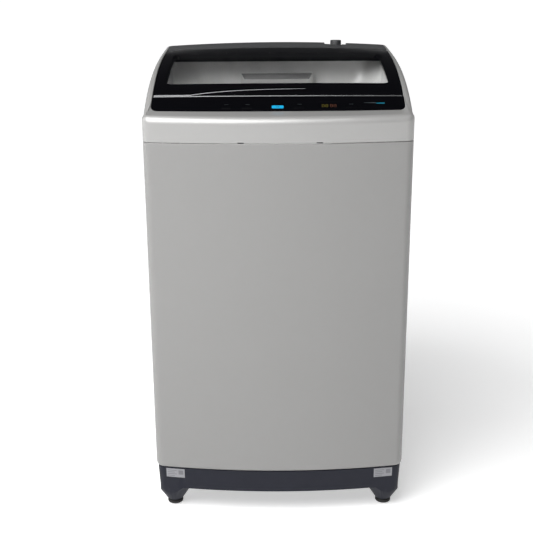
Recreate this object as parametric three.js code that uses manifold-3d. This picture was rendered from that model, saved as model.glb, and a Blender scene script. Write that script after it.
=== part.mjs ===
// A top load washing machine, in millimetres. The front faces -Y, +X is to the right of someone
// who faces the front, and +Z is up. The origin is on the floor, under the middle of the machine.
import * as THREE from "three";
import { mergeVertices } from "three/addons/utils/BufferGeometryUtils.js";
import Module from "manifold-3d";

const wasm = await Module();
wasm.setup();

// ---- Driving dimensions ----

const WIDTH = 520;
const DEPTH = 540;
const FRONT_BOW = 25; // how far the middle of the front stands ahead of its ends
const GAP = 0.35; // clearance between pieces that meet

const PLINTH_LOW = 52;
const PLINTH_TOP = 102;
const SEAM = 790; // where the top cover meets the cabinet
const SHEET = 1.2; // thickness of the cabinet's steel

const TOP_REAR = 935; // height of the top surface towards the rear, at its sides
const TOP_FALL = 104; // how much lower the front edge of the black panel would be
const TOP_DECAY = 152; // length over which the slope dies away
const TOP_START = -225;
const TOP_CROWN = 8; // how much higher the middle of the rear edge is than its ends
const TOP_KICK = 4; // how much the rear edge turns up
const TOP_FRONT = -220;
const TOP_LENGTH = 490;
const LEDGE_REAR = -207; // where the flat silver ledge ends and the black panel starts
const OPENING_REAR = 266.7;
const LEDGE_SLOPE = 0.06;
const OUTER_EDGE = { front: 16, side: 9, sideRear: 5.6, rear: 2 }; // rounding of the top cover's outer edge
const SPLAY = 0.028; // how much wider the top's opening is at its rear than at its front, as a share

const PANEL_REAR = -164.9;
const LID_FRONT = -158.8;
const LID_REAR = 176;
const LID_DEPTH = 9.6;
const HINGE_Y = 172;
const HINGE_Z = 918;
const DECK_FRONT = 190.8;
const DECK_HALF = 240;
const TROUGH_FLOOR = 907;
const LUG_RADIUS = 7; // the lid's lugs, round its hinge pins

const TUB_Y = 5; // the wash unit's axis is this far behind the middle
const TUB_RADIUS = 238;
const TUB_LOW = 252;
const TUB_TOP = 765.6;
const DRUM_RADIUS = 215.4;
const MOUTH_RADIUS = 186.5;
const MOTOR_X = -150;
const BELT_Z = 121;
const BIG_PULLEY = 62;
const SMALL_PULLEY = 31;

const ROD_X = 218;
const ROD_OUT = 209; // rod to wash axis along Y
const ROD_RADIUS = 4;
const EAR_Z = 330;

const FOOT_X = 225;
const FOOT_FRONT_Y = -210;
const FOOT_REAR_Y = 225;

const DRAWER = { half: 82, front: 150, back: 256, low: 836, top: 880 };
const INLET = { x: 138.5, y: 243, radius: 13.2, top: 948 };
const KEY_Y = -195.5;
const KEY_PROUD = 0.3;

// ---- Materials ----

const material = (color, roughness, metalness, more = {}) =>
  new THREE.MeshStandardMaterial({ color, roughness, metalness, ...more });

const silverPaint = () => material(0xa5a5a4, 0.42, 0.45);
const silverPlastic = () => material(0xb1b1ae, 0.35, 0.4);
const glossBlack = () => material(0x0a0a0b, 0.12, 0);
const deckPlastic = () => material(0x2c2d2f, 0.5, 0);
const linerPlastic = () => material(0x8d8f90, 0.4, 0.1);
const plinthPlastic = () => material(0x363845, 0.55, 0);
const rubber = () => material(0x1d1c1c, 0.85, 0);
const tintedGlass = () => material(0x22262a, 0.05, 0, { transparent: true, opacity: 0.35 });
const stainless = () => material(0xc4c6c8, 0.25, 1);
const zincSteel = () => material(0xa8abad, 0.45, 0.9);
const aluminium = () => material(0xb4b6b8, 0.4, 0.9);
const whitePlastic = () => material(0xdcdedd, 0.45, 0);
const tubPlastic = () => material(0xc9cccb, 0.55, 0);
const keyBlue = () => material(0x19a4c8, 0.25, 0);
const boardGreen = () => material(0x22553a, 0.6, 0);
const chrome = () => material(0xd2d4d5, 0.12, 1);

// ---- Solids ----

// Turns a closed three.js geometry into a solid, with its faces outwards.
function solid(geometry) {
  const bare = new THREE.BufferGeometry();
  bare.setAttribute("position", geometry.getAttribute("position"));
  bare.setIndex(geometry.getIndex());
  const merged = mergeVertices(bare, 1e-3);
  const spots = merged.getAttribute("position");
  const corners = merged.getIndex().array;
  const [a, b, c] = [new THREE.Vector3(), new THREE.Vector3(), new THREE.Vector3()];
  const triangles = [];
  let volume = 0;
  for (let i = 0; i < corners.length; i += 3) {
    const [p, q, r] = corners.slice(i, i + 3);
    if (p === q || q === r || r === p) continue;
    triangles.push([p, q, r]);
    a.fromBufferAttribute(spots, p);
    b.fromBufferAttribute(spots, q);
    c.fromBufferAttribute(spots, r);
    volume += a.dot(b.cross(c));
  }
  if (volume < 0) triangles.forEach((triangle) => triangle.reverse());
  const mesh = new wasm.Mesh({
    numProp: 3,
    vertProperties: new Float32Array(spots.array),
    triVerts: new Uint32Array(triangles.flat()),
  });
  return new wasm.Manifold(mesh);
}

function geometryOf(manifold) {
  const mesh = manifold.getMesh();
  const geometry = new THREE.BufferGeometry();
  geometry.setAttribute("position", new THREE.BufferAttribute(mesh.vertProperties, 3));
  geometry.setIndex(new THREE.BufferAttribute(mesh.triVerts, 1));
  geometry.computeVertexNormals();
  return geometry;
}

const join = (first, ...rest) => rest.reduce((whole, piece) => whole.add(piece), first);
const cut = (first, ...rest) => rest.reduce((whole, piece) => whole.subtract(piece), first);

const box = (x0, x1, y0, y1, z0, z1) =>
  solid(
    new THREE.BoxGeometry(x1 - x0, y1 - y0, z1 - z0).translate(
      (x0 + x1) / 2,
      (y0 + y1) / 2,
      (z0 + z1) / 2,
    ),
  );

// A turned piece around an upright axis through x, y. Its profile lists [radius, height] and
// either starts and ends on the axis or is closed here.
function turned(profile, x = 0, y = 0, steps = 20) {
  const points = profile.map(([radius, height]) => new THREE.Vector2(radius, height));
  const open = points[0].x > 0 || points.at(-1).x > 0;
  if (open) points.push(points[0].clone());
  return solid(new THREE.LatheGeometry(points, steps).rotateX(Math.PI / 2).translate(x, y, 0));
}

const cylinder = (radius, x, y, low, high, steps = 16) =>
  turned([[0, low], [radius, low], [radius, high], [0, high]], x, y, steps);

const pathOf = (points) => {
  const shape = new THREE.Shape();
  points.forEach((point, i) => (i ? shape.lineTo(point.x, point.y) : shape.moveTo(point.x, point.y)));
  return shape;
};

const upright = (shape, low, high, curveSegments = 6) =>
  solid(
    new THREE.ExtrudeGeometry(shape, {
      depth: high - low,
      bevelEnabled: false,
      curveSegments,
    }).translate(0, 0, low),
  );

// A plate seen in the XZ plane, as thick as y1 - y0.
const standing = (shape, y0, y1) =>
  solid(
    new THREE.ExtrudeGeometry(shape, { depth: y1 - y0, bevelEnabled: false, curveSegments: 6 })
      .rotateX(Math.PI / 2)
      .translate(0, y1, 0),
  );

function roundedRectangle(x0, x1, y0, y1, radius) {
  const shape = new THREE.Shape();
  shape.moveTo(x0 + radius, y0);
  shape.lineTo(x1 - radius, y0);
  shape.absarc(x1 - radius, y0 + radius, radius, -Math.PI / 2, 0, false);
  shape.lineTo(x1, y1 - radius);
  shape.absarc(x1 - radius, y1 - radius, radius, 0, Math.PI / 2, false);
  shape.lineTo(x0 + radius, y1);
  shape.absarc(x0 + radius, y1 - radius, radius, Math.PI / 2, Math.PI, false);
  shape.lineTo(x0, y0 + radius);
  shape.absarc(x0 + radius, y0 + radius, radius, Math.PI, 1.5 * Math.PI, false);
  return shape;
}

// ---- The machine's plan and its top surface ----

const FRONT_STEPS = 10;
const SIDE_STEPS = 9;
const REAR_STEPS = 2;
const CORNER_STEPS = 4;

const PLAN = {
  half: WIDTH / 2,
  front: -DEPTH / 2,
  rear: DEPTH / 2,
  bow: FRONT_BOW,
  frontCorner: 20,
  rearCorner: 12,
};

const shrunk = (plan, by) => ({
  ...plan,
  half: plan.half - by,
  front: plan.front + by,
  rear: plan.rear - by,
  frontCorner: Math.max(plan.frontCorner - by, 1),
  rearCorner: Math.max(plan.rearCorner - by, 1),
});

// How far y is on the way from the front of the top's opening, 0, to its rear, 1.
const rearness = (y) => Math.min(Math.max((y - LEDGE_REAR) / (OPENING_REAR - LEDGE_REAR), 0), 1);

// A closed outline with a bowed front, anticlockwise seen from above, that may grow wider to
// the rear. Every outline has the same number of points in the same order, so that two of them
// can be joined by a skin.
function outline({ half, front, rear, bow, frontCorner, rearCorner, splay = 0 }) {
  const bowAt = (x) => front + bow * (x / half) ** 2;
  const lean = Math.atan((2 * bow * (half - frontCorner)) / half ** 2);
  const bowEnd = half - frontCorner + frontCorner * Math.sin(lean);
  const cornerY = bowAt(bowEnd) + frontCorner * Math.cos(lean);
  const rearY = rear - rearCorner;
  const points = [];
  const add = (x, y) => points.push(new THREE.Vector2(x, y));
  const arc = (x, y, radius, from, to, steps, last = steps) => {
    for (let i = 1; i <= last; i++) {
      const angle = from + ((to - from) * i) / steps;
      add(x + radius * Math.cos(angle), y + radius * Math.sin(angle));
    }
  };
  const line = (x0, y0, x1, y1, steps) => {
    for (let i = 1; i <= steps; i++) {
      add(x0 + ((x1 - x0) * i) / steps, y0 + ((y1 - y0) * i) / steps);
    }
  };
  for (let i = 0; i <= FRONT_STEPS; i++) {
    const x = bowEnd * ((2 * i) / FRONT_STEPS - 1);
    add(x, bowAt(x));
  }
  const right = Math.PI / 2;
  arc(half - frontCorner, cornerY, frontCorner, lean - right, 0, CORNER_STEPS);
  line(half, cornerY, half, rearY, SIDE_STEPS);
  arc(half - rearCorner, rearY, rearCorner, 0, right, CORNER_STEPS);
  line(half - rearCorner, rear, rearCorner - half, rear, REAR_STEPS);
  arc(rearCorner - half, rearY, rearCorner, right, 2 * right, CORNER_STEPS);
  line(-half, rearY, -half, cornerY, SIDE_STEPS);
  arc(frontCorner - half, cornerY, frontCorner, 2 * right, 3 * right - lean, CORNER_STEPS, CORNER_STEPS - 1);
  return points.map(({ x, y }) => new THREE.Vector2(x * (1 + splay * rearness(y)), y));
}

const planShape = (plan) => pathOf(outline(plan));

// The height of the outer surface of the panel, lid and deck.
function topHeight(x, y) {
  if (y < LEDGE_REAR) return topHeight(x, LEDGE_REAR) - LEDGE_SLOPE * (LEDGE_REAR - y);
  const along = Math.min(Math.max((y - TOP_FRONT) / TOP_LENGTH, 0), 1);
  const crown = TOP_CROWN * along * (1 - (x / (WIDTH / 2)) ** 2);
  return TOP_REAR - TOP_FALL * Math.exp(-(y - TOP_START) / TOP_DECAY) + crown + TOP_KICK * along ** 4;
}

const topSlope = (y) => (TOP_FALL / TOP_DECAY) * Math.exp(-(y - TOP_START) / TOP_DECAY);

// A slab that follows the top surface, from low to high above it, within x and y limits.
function slab(low, high, y0 = -240, y1 = 272, steps = 16) {
  const geometry = new THREE.BoxGeometry(WIDTH + 20, y1 - y0, 1, 4, steps, 1);
  geometry.translate(0, (y0 + y1) / 2, 0);
  const spots = geometry.getAttribute("position");
  for (let i = 0; i < spots.count; i++) {
    const above = spots.getZ(i) > 0 ? high : low;
    spots.setZ(i, topHeight(spots.getX(i), spots.getY(i)) + above);
  }
  return solid(geometry);
}

// A closed skin through rings that all have the same number of points; the last ring joins
// the first again.
function loft(rings) {
  const loops = [...rings, rings[0]];
  const around = rings[0].length;
  const blank = loops.map((_, i) => new THREE.Vector2(1 + i, i));
  const geometry = new THREE.LatheGeometry(blank, around);
  const spots = geometry.getAttribute("position");
  for (let i = 0; i <= around; i++) {
    loops.forEach((loop, j) => spots.setXYZ(i * loops.length + j, ...loop[i % around].toArray()));
  }
  return solid(geometry);
}

const raised = (points, heightAt) => points.map((p) => new THREE.Vector3(p.x, p.y, heightAt(p.x, p.y)));
const lowered = (by) => (x, y) => topHeight(x, y) - by;
const level = (z) => () => z;

// ---- The scene ----

const machine = new THREE.Group();

function place(name, made, finish, parent = machine) {
  const mesh = new THREE.Mesh(geometryOf(made), finish);
  mesh.name = name;
  parent.add(mesh);
  return mesh;
}

// ---- Cabinet and base ----

const GUSSET_Z = 776;

function gusset(side, y, inward) {
  const corner = [side * 259, y];
  const leg = 118;
  const plate = pathOf([
    new THREE.Vector2(...corner),
    new THREE.Vector2(corner[0], y + inward * leg),
    new THREE.Vector2(corner[0] - side * leg, y),
  ]);
  return upright(plate, GUSSET_Z, GUSSET_Z + 3);
}

// The cabinet is one steel sheet folded round the front and sides, with a return along each
// rear edge and a welded gusset in each upper corner that a suspension rod hangs from.
function makeCabinet() {
  const outer = upright(planShape(PLAN), PLINTH_TOP + GAP, SEAM - GAP);
  const inner = upright(planShape(shrunk(PLAN, SHEET)), PLINTH_TOP - 10, SEAM + 10);
  const rearOpening = box(-236, 236, 240, 300, PLINTH_TOP - 10, SEAM + 10);
  const gussets = [-1, 1].flatMap((side) => [gusset(side, -240, 1), gusset(side, 266.6, -1)]);
  const holes = rodPlaces().map(([x, y]) => cylinder(5.4, x, y, GUSSET_Z - 5, GUSSET_Z + 8, 16));
  const inside = join(...gussets).intersect(upright(planShape(shrunk(PLAN, 0.6)), 700, 800));
  return cut(join(cut(outer, inner, rearOpening), inside), ...holes);
}

const GLAND = { x: -215, z: 735, radius: 9.3 };

// The rear panel closes the cabinet behind the returns.
function makeRearPanel() {
  const shape = roundedRectangle(-249, 249, PLINTH_TOP + GAP, SEAM - GAP, 6);
  const hole = new THREE.Path();
  hole.absarc(GLAND.x, GLAND.z, GLAND.radius + GAP, 0, 2 * Math.PI, false);
  shape.holes.push(hole);
  return standing(shape, 267.2, 268.4);
}

// A round piece on an axis that runs along Y, through x, z. Its profile lists [radius, y].
function turnedAlongY(profile, x, z, steps = 14) {
  const points = profile.map(([radius, y]) => new THREE.Vector2(radius, y));
  points.push(points[0].clone());
  return solid(new THREE.LatheGeometry(points, steps).translate(x, 0, z));
}

function makeCordGland() {
  const { x, z, radius } = GLAND;
  return turnedAlongY([[4, 260], [radius, 260], [radius, 268.8], [13, 268.8], [13, 269.9], [4, 269.9]], x, z);
}

const DRAIN = { x: 120, z: 80, radius: 15 };

function makeDrainOutlet() {
  const { x, z, radius } = DRAIN;
  return turnedAlongY([[12, 222], [radius, 222], [radius, 269.8], [12, 269.8]], x, z);
}

const PLINTH_INSET = 3.2;
const PLINTH_TAPER = 2.5; // how much further in the plinth's lower edge is
const PLINTH_WIDTH = 34;
const BOSS_LOW = 10.5;
const PAD_TOP = 9; // leaves room for the foot to be screwed in a little
const STUD = { radius: 5, hole: 5.6, top: 72 };

function footPlaces() {
  return [-1, 1].flatMap((side) => [
    [side * FOOT_X, FOOT_FRONT_Y],
    [side * FOOT_X, FOOT_REAR_Y],
  ]);
}

// The moulded base: a ring that narrows downwards, with a tapered boss over each foot.
function makeBase() {
  const upper = outline(shrunk(PLAN, PLINTH_INSET));
  const lower = outline(shrunk(PLAN, PLINTH_INSET + PLINTH_TAPER));
  const inner = outline(shrunk(PLAN, PLINTH_INSET + PLINTH_WIDTH));
  const ring = loft([
    raised(lower, level(PLINTH_LOW)),
    raised(upper, level(PLINTH_TOP)),
    raised(inner, level(PLINTH_TOP)),
    raised(inner, level(PLINTH_LOW)),
  ]);
  const bossProfile = [
    [0, BOSS_LOW],
    [17, BOSS_LOW],
    [43, PLINTH_LOW],
    [43, PLINTH_TOP],
    [0, PLINTH_TOP],
  ];
  const within = upright(pathOf(lower), 0, PLINTH_TOP);
  const bosses = footPlaces().map(([x, y]) => turned(bossProfile, x, y).intersect(within));
  const studHoles = footPlaces().map(([x, y]) => cylinder(STUD.hole, x, y, 0, PLINTH_TOP + 20, 16));
  const drain = turnedAlongY([[0, 200], [DRAIN.radius + GAP, 200], [DRAIN.radius + GAP, 280], [0, 280]], DRAIN.x, DRAIN.z);
  return cut(join(ring, ...bosses), ...studHoles, drain);
}

// A pad on a threaded stud.
function makeFoot(x, y) {
  const pad = [[0, 0], [13.5, 0], [16.5, 3], [16.5, PAD_TOP - 1.5], [15, PAD_TOP]];
  const stud = [[STUD.radius, PAD_TOP], [STUD.radius, STUD.top], [0, STUD.top]];
  return turned([...pad, ...stud], x, y, 16);
}

// ---- Top cover ----

const OPENING = {
  half: 246,
  front: LEDGE_REAR,
  rear: OPENING_REAR,
  bow: 3,
  frontCorner: 12,
  rearCorner: 10,
  splay: SPLAY,
};
const LEDGE = { ...OPENING, half: 241, front: -199, rear: 262, frontCorner: 10, rearCorner: 8 };

// The outward direction of a closed outline at each of its points.
function normals(points) {
  return points.map((_, i) => {
    const before = points[(i + points.length - 1) % points.length];
    const after = points[(i + 1) % points.length];
    return new THREE.Vector2(after.y - before.y, before.x - after.x).normalize();
  });
}

// How round the outer edge is at a point of the outline that faces along normal.
function edgeRadius(point, normal) {
  const side = OUTER_EDGE.side + (OUTER_EDGE.sideRear - OUTER_EDGE.side) * rearness(point.y);
  const end = normal.y < 0 ? OUTER_EDGE.front : OUTER_EDGE.rear;
  return side + (end - side) * normal.y ** 2;
}

function roundedRing(points, faces, angle) {
  return points.map((point, i) => {
    const radius = edgeRadius(point, faces[i]);
    const inner = point.clone().addScaledVector(faces[i], -radius);
    const spot = point.clone().addScaledVector(faces[i], radius * (Math.cos(angle) - 1));
    return new THREE.Vector3(spot.x, spot.y, topHeight(inner.x, inner.y) - radius * (1 - Math.sin(angle)));
  });
}

// The silver frame round the top: an outer wall, a rounded edge, a rim, and a ledge that the
// panel, lid and deck rest on.
function makeTopCover() {
  const outer = outline(PLAN);
  const faces = normals(outer);
  const inner = outline(shrunk(PLAN, 3));
  const opening = outline(OPENING);
  const ledge = outline(LEDGE);
  const shell = loft([
    raised(outer, level(SEAM + GAP)),
    ...[0, 30, 60, 90].map((angle) => roundedRing(outer, faces, THREE.MathUtils.degToRad(angle))),
    raised(opening, lowered(0)),
    raised(opening, lowered(10)),
    raised(ledge, lowered(10)),
    raised(ledge, lowered(12.5)),
    raised(inner, lowered(22)),
    raised(inner, level(SEAM + GAP)),
  ]);
  const slots = [-71, 78].map((x) => box(x - 6, x + 6, -280, -240, SEAM - 1, SEAM + 2.6));
  const inletNotch = box(113, 164, 240, 280, 915, 960);
  return cut(shell, ...slots, inletNotch);
}

// ---- Well liner, panel and keys ----

const WELL_TOP = { half: 238, front: -158, rear: 178.5, bow: 0, frontCorner: 30, rearCorner: 40 };
const WELL_FLANGE = { half: 240.4, front: -174, rear: 181, bow: 0, frontCorner: 30, rearCorner: 42 };
const WELL_MIDDLE = { half: 228, front: -157, rear: 176, bow: 0, frontCorner: 80, rearCorner: 90 };
const WELL_FOOT = { half: 194, front: -155, rear: 170, bow: 0, frontCorner: 145, rearCorner: 150 };
const WELL_WALL = 2.4;

// The liner's upper edge runs just below the lid and dips under the hinge trough at the rear.
function linerTop(x, y) {
  const underTrough = TROUGH_FLOOR - 1 + 30 * Math.min(Math.max((150 - y) / 40, 0), 1);
  return Math.min(topHeight(x, y) - 14, underTrough);
}

// The funnel that leads washing from the lid opening down to the mouth of the tub.
function makeWellLiner() {
  const [top, flange, middle, foot] = [WELL_TOP, WELL_FLANGE, WELL_MIDDLE, WELL_FOOT].map(outline);
  const [middleOut, footOut] = [WELL_MIDDLE, WELL_FOOT].map((plan) => outline(shrunk(plan, -WELL_WALL)));
  const under = (x, y) => linerTop(x, y) - WELL_WALL;
  const liner = loft([
    raised(flange, linerTop),
    raised(top, linerTop),
    raised(middle, level(838)),
    raised(foot, level(799)),
    raised(foot, level(790)),
    raised(footOut, level(790)),
    raised(footOut, level(800)),
    raised(middleOut, level(836)),
    raised(outline(shrunk(WELL_TOP, -WELL_WALL / 2)), (x, y) => under(x, y) - 1),
    raised(flange, under),
  ]);
  const { half, low, top: high } = DRAWER;
  return cut(liner, box(-half - 2.5, half + 2.5, 150, 200, low - 2.5, high + 2.5));
}

const KEYS = [
  { name: "process_key", x: -100, width: 22 },
  { name: "power_key", x: -59, width: 22 },
  { name: "start_key", x: -0.5, width: 23 },
  { name: "program_key", x: 42, width: 22 },
  { name: "level_key", x: 142, width: 22 },
];
const KEY_DEPTH = 9;

// Anything on the sloping panel is made flat and level, then tilted into place.
function onPanel(x, y) {
  const matrix = new THREE.Matrix4().makeRotationX(Math.atan(topSlope(y)));
  return matrix.setPosition(x, y, topHeight(x, y));
}

function keyBlank(width, depth, low, high) {
  const shape = roundedRectangle(-width / 2, width / 2, -depth / 2, depth / 2, 2.5);
  return new THREE.ExtrudeGeometry(shape, { depth: high - low, bevelEnabled: false, curveSegments: 2 })
    .translate(0, 0, low);
}

const makeKey = ({ x, width }) =>
  solid(keyBlank(width, KEY_DEPTH, -7, KEY_PROUD).applyMatrix4(onPanel(x, KEY_Y)));

const keyHole = ({ x, width }) =>
  solid(keyBlank(width + 2 * GAP, KEY_DEPTH + 2 * GAP, -30, 20).applyMatrix4(onPanel(x, KEY_Y)));

const DISPLAY = [79, 118, -202, -182];

function makeControlPanel() {
  const plan = { ...shrunk(OPENING, 0.4), rear: PANEL_REAR, rearCorner: 2 };
  const fascia = upright(planShape(plan), 800, 900).intersect(slab(-9.4, 0, -230, -160, 4));
  const [x0, x1, y0, y1] = DISPLAY;
  const recess = box(x0 - GAP, x1 + GAP, y0 - GAP, y1 + GAP, 800, 900).intersect(slab(-2.8, 5, -230, -160, 4));
  return cut(fascia, recess, ...KEYS.map(keyHole));
}

const makeDisplay = () => upright(roundedRectangle(...DISPLAY, 1.5), 800, 900, 1).intersect(slab(-2.4, -0.1, -230, -160, 4));

const makeControlBoard = () => upright(roundedRectangle(-150, 150, -236, -183, 6), 797, 822, 2);

// ---- Rear deck, lid and hinge ----

const CHEEK = 237.4; // inner face of the trough's ends, which hold the hinge pins
const CHEEK_FRONT = 164;

// The same span along X on the left and on the right.
const mirrored = (inner, outer) => [
  [-outer, -inner],
  [inner, outer],
];

// The half-round boss outside each end of the trough, and the web that ties it to the deck.
function makeKnuckle(side) {
  const [x0, x1] = [side * (DECK_HALF - 1), side * 250.4].sort((a, b) => a - b);
  const boss = alongX(9.6, x0, x1, HINGE_Y, HINGE_Z, 16);
  const web = box(x0, x1, HINGE_Y, DECK_FRONT + 1, 900, 926.6);
  return join(boss, web).intersect(slab(-9.2, 30, 150, 280, 6));
}

// The deck behind the lid, with the trough that the lid's rear edge turns in.
function makeRearDeck() {
  const plan = { half: 245.6, front: DECK_FRONT, rear: 266.3, bow: 0, frontCorner: 3, rearCorner: 12, splay: SPLAY };
  const core = roundedRectangle(-241.6, 241.6, DECK_FRONT + 3, 262.3, 8);
  const cover = upright(planShape(plan), 850, 960).intersect(slab(-8.8, 0, 170, 280, 3));
  const hollow = upright(core, 850, 960, 3).intersect(slab(-12, -3.5, 170, 280, 3));
  const wall = box(-DECK_HALF, DECK_HALF, DECK_FRONT, DECK_FRONT + 3, TROUGH_FLOOR, 960)
    .intersect(slab(-60, -2, 170, 280, 3));
  const floor = box(-DECK_HALF, DECK_HALF, 158, DECK_FRONT + 3, TROUGH_FLOOR, TROUGH_FLOOR + 3);
  const cheeks = mirrored(CHEEK, DECK_HALF).map(([x0, x1]) =>
    box(x0, x1, CHEEK_FRONT, DECK_FRONT + 1, TROUGH_FLOOR, 924),
  );
  const knuckles = [-1, 1].map(makeKnuckle);
  const pinHoles = [-1, 1].map((side) => alongX(3.5 + GAP, side * 230, side * 241, HINGE_Y, HINGE_Z));
  const notch = box(113, 164, 243, 280, 850, 960);
  const inletHole = cylinder(INLET.radius + 1.8, INLET.x, INLET.y, 850, 960);
  return cut(join(cut(cover, hollow), wall, floor, ...cheeks, ...knuckles), ...pinHoles, notch, inletHole);
}

function alongX(radius, x0, x1, y, z, steps = 12) {
  const length = Math.abs(x1 - x0);
  const geometry = new THREE.CylinderGeometry(radius, radius, length, steps);
  return solid(geometry.rotateZ(Math.PI / 2).translate((x0 + x1) / 2, y, z));
}

const makeHingePin = (side) => alongX(3.5, side * 226, side * 239.8, HINGE_Y, HINGE_Z);

const LID = { half: 244.8, front: LID_FRONT, rear: LID_REAR, bow: 0, frontCorner: 3, rearCorner: 14, splay: SPLAY };
const WINDOW = { half: 223, front: -109.5, rear: 115, bow: 0, frontCorner: 12, rearCorner: 16 };
const GLASS_LAP = 4.2;

function makeLidFrame() {
  const body = upright(planShape(LID), 800, 980).intersect(slab(-LID_DEPTH, 0));
  const opening = upright(planShape(WINDOW), 800, 980);
  const rebate = upright(planShape(shrunk(WINDOW, -GLASS_LAP - GAP)), 800, 980).intersect(slab(-4.6, 5));
  const lugs = [-1, 1].map((side) => alongX(LUG_RADIUS, side * 228, side * 236.6, HINGE_Y, HINGE_Z, 20));
  const pinHoles = [-1, 1].map((side) => alongX(3.5 + GAP, side * 220, side * 245, HINGE_Y, HINGE_Z));
  const above = slab(0, 30);
  const cheekRoom = mirrored(CHEEK - 0.6, 260).map(([x0, x1]) =>
    box(x0, x1, CHEEK_FRONT - 2.5, 200, 850, 980),
  );
  const frame = cut(body, opening, rebate, ...cheekRoom);
  return cut(join(frame, ...lugs.map((lug) => cut(lug, above))), ...pinHoles);
}

const makeLidGlass = () =>
  upright(planShape(shrunk(WINDOW, -GLASS_LAP)), 800, 980).intersect(slab(-4.2, -0.3));

const makeLidTrim = () =>
  box(-244.3, 244.3, LID_FRONT - 3, LID_FRONT - GAP, 800, 900).intersect(slab(-8, 0, -200, -140, 2));

// ---- Detergent drawer and water inlet ----

function makeDispenserHousing() {
  const { half, low, top } = DRAWER;
  const shell = box(-half - 9, half + 9, 184, 262, low - 7, top + 8);
  const space = box(-half - 6.3, half + 6.3, 180, 259.5, low - 4.5, top + 5.5);
  return cut(shell, space, cylinder(5, 72, 232, 860, 900, 12));
}

function makeDrawer() {
  const { half, front, back, low, top } = DRAWER;
  const bevel = 9;
  const face = pathOf([
    new THREE.Vector2(-half, front + bevel),
    new THREE.Vector2(bevel - half, front),
    new THREE.Vector2(half - bevel, front),
    new THREE.Vector2(half, front + bevel),
    new THREE.Vector2(half, back),
    new THREE.Vector2(-half, back),
  ]);
  const wall = 2.2;
  const trayFront = 186;
  const bay = (x0, x1) => box(x0, x1, trayFront, back - wall, low + wall, top + 5);
  const grip = box(-60, 60, front + 8, trayFront - 8, low - 5, low + 26);
  return cut(upright(face, low, top), bay(wall - half, -1.2), bay(1.2, half - wall), grip);
}

// The solenoid valve, with the threaded spigot that the water hose screws onto.
function makeInletValve() {
  const { x, y, radius, top } = INLET;
  const body = box(x - 12, x + 12, y - 13, y + 13, 884, 924);
  const spigot = cylinder(radius, x, y, 920, top);
  const coil = turnedAlongY([[0, 200], [11, 200], [11, y - 10], [0, y - 10]], x, 902);
  return cut(join(body, spigot, coil), cylinder(9, x, y, 905, top + 5));
}

const makeWaterDuct = () => box(60, INLET.x - 12 - GAP, 224, 240, DRAWER.top + 8 + GAP, 902);

const makePressureSensor = () =>
  turned([[0, 874], [3, 874], [3, 884], [24, 884], [24, 898], [10, 902], [0, 902]], -150, 228);

// ---- Suspension ----

function rodPlaces() {
  return [-1, 1].flatMap((side) => [
    [side * ROD_X, TUB_Y - ROD_OUT],
    [side * ROD_X, TUB_Y + ROD_OUT],
  ]);
}

// A rod hangs by its domed head from a gusset and carries a disc at its lower end.
function makeRod(x, y) {
  const head = GUSSET_Z + 3 + GAP;
  const profile = [[0, 262], [13, 262], [13, 266], [ROD_RADIUS, 266], [ROD_RADIUS, head]];
  return turned([...profile, [10, head], [8, head + 6], [0, head + 9]], x, y, 10);
}

// The cup under each ear of the tub. Its spring, inside, stands on the rod's disc.
function makeCup(x, y) {
  const top = EAR_Z - GAP;
  return turned([[5.2, top], [18, top], [18, 252], [14.6, 252], [14.6, top - 4], [5.2, top - 4]], x, y, 14);
}

// ---- Tub ----

function makeEar(x, y) {
  const angle = Math.atan2(y - TUB_Y, x);
  const reach = Math.hypot(x, y - TUB_Y);
  const arm = upright(roundedRectangle(TUB_RADIUS - 2, reach + 20, -22, 22, 12), EAR_Z, EAR_Z + 9, 3);
  const turnedArm = geometryOf(arm).rotateZ(angle).translate(0, TUB_Y, 0);
  return cut(solid(turnedArm), cylinder(5.4, x, y, EAR_Z - 5, EAR_Z + 15, 16));
}

const DRAIN_VALVE = { x: 150, y: 65 };

function makeTub() {
  const wall = 2.6;
  const vessel = turned(
    [
      [34, TUB_LOW],
      [60, TUB_LOW],
      [60, TUB_LOW - 2.7],
      [70, TUB_LOW - 2.7],
      [70, TUB_LOW],
      [226, TUB_LOW],
      [TUB_RADIUS, TUB_LOW + 12],
      [TUB_RADIUS, TUB_TOP],
      [TUB_RADIUS - wall, TUB_TOP],
      [TUB_RADIUS - wall, TUB_LOW + 14],
      [225, TUB_LOW + 4],
      [34, TUB_LOW + 4],
    ],
    0,
    TUB_Y,
    36,
  );
  const drainHole = cylinder(16, DRAIN_VALVE.x, DRAIN_VALVE.y, TUB_LOW - 10, TUB_LOW + 10, 16);
  return cut(join(vessel, ...rodPlaces().map(([x, y]) => makeEar(x, y))), drainHole);
}

const makeTubCover = () =>
  turned([[194, 766], [194, 772], [241.5, 772], [241.5, 738], [238.4, 738], [238.4, 766]], 0, TUB_Y, 36);

function makeMountPlate() {
  const plate = roundedRectangle(-216, 112, TUB_Y - 96, TUB_Y + 96, 24);
  const bore = new THREE.Path();
  bore.absarc(0, TUB_Y, 36, 0, 2 * Math.PI, false);
  plate.holes.push(bore);
  return upright(plate, 246, 249);
}

const makeGearcase = () =>
  turned(
    [[13.2, 150], [26, 150], [30, 164], [48, 168], [48, 232], [57, 236], [57, 245.6], [32, 245.6], [32, 262], [13.2, 262]],
    0,
    TUB_Y,
  );

const makeMotor = () =>
  turned(
    [[6.8, 150], [30, 150], [57, 156], [62, 163], [62, 226], [57, 233], [34, 238], [34, 245.6], [6.8, 245.6]],
    MOTOR_X,
    TUB_Y,
  );

const makeCapacitor = () => alongX(20, 10, 88, TUB_Y - 86, 224);

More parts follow.
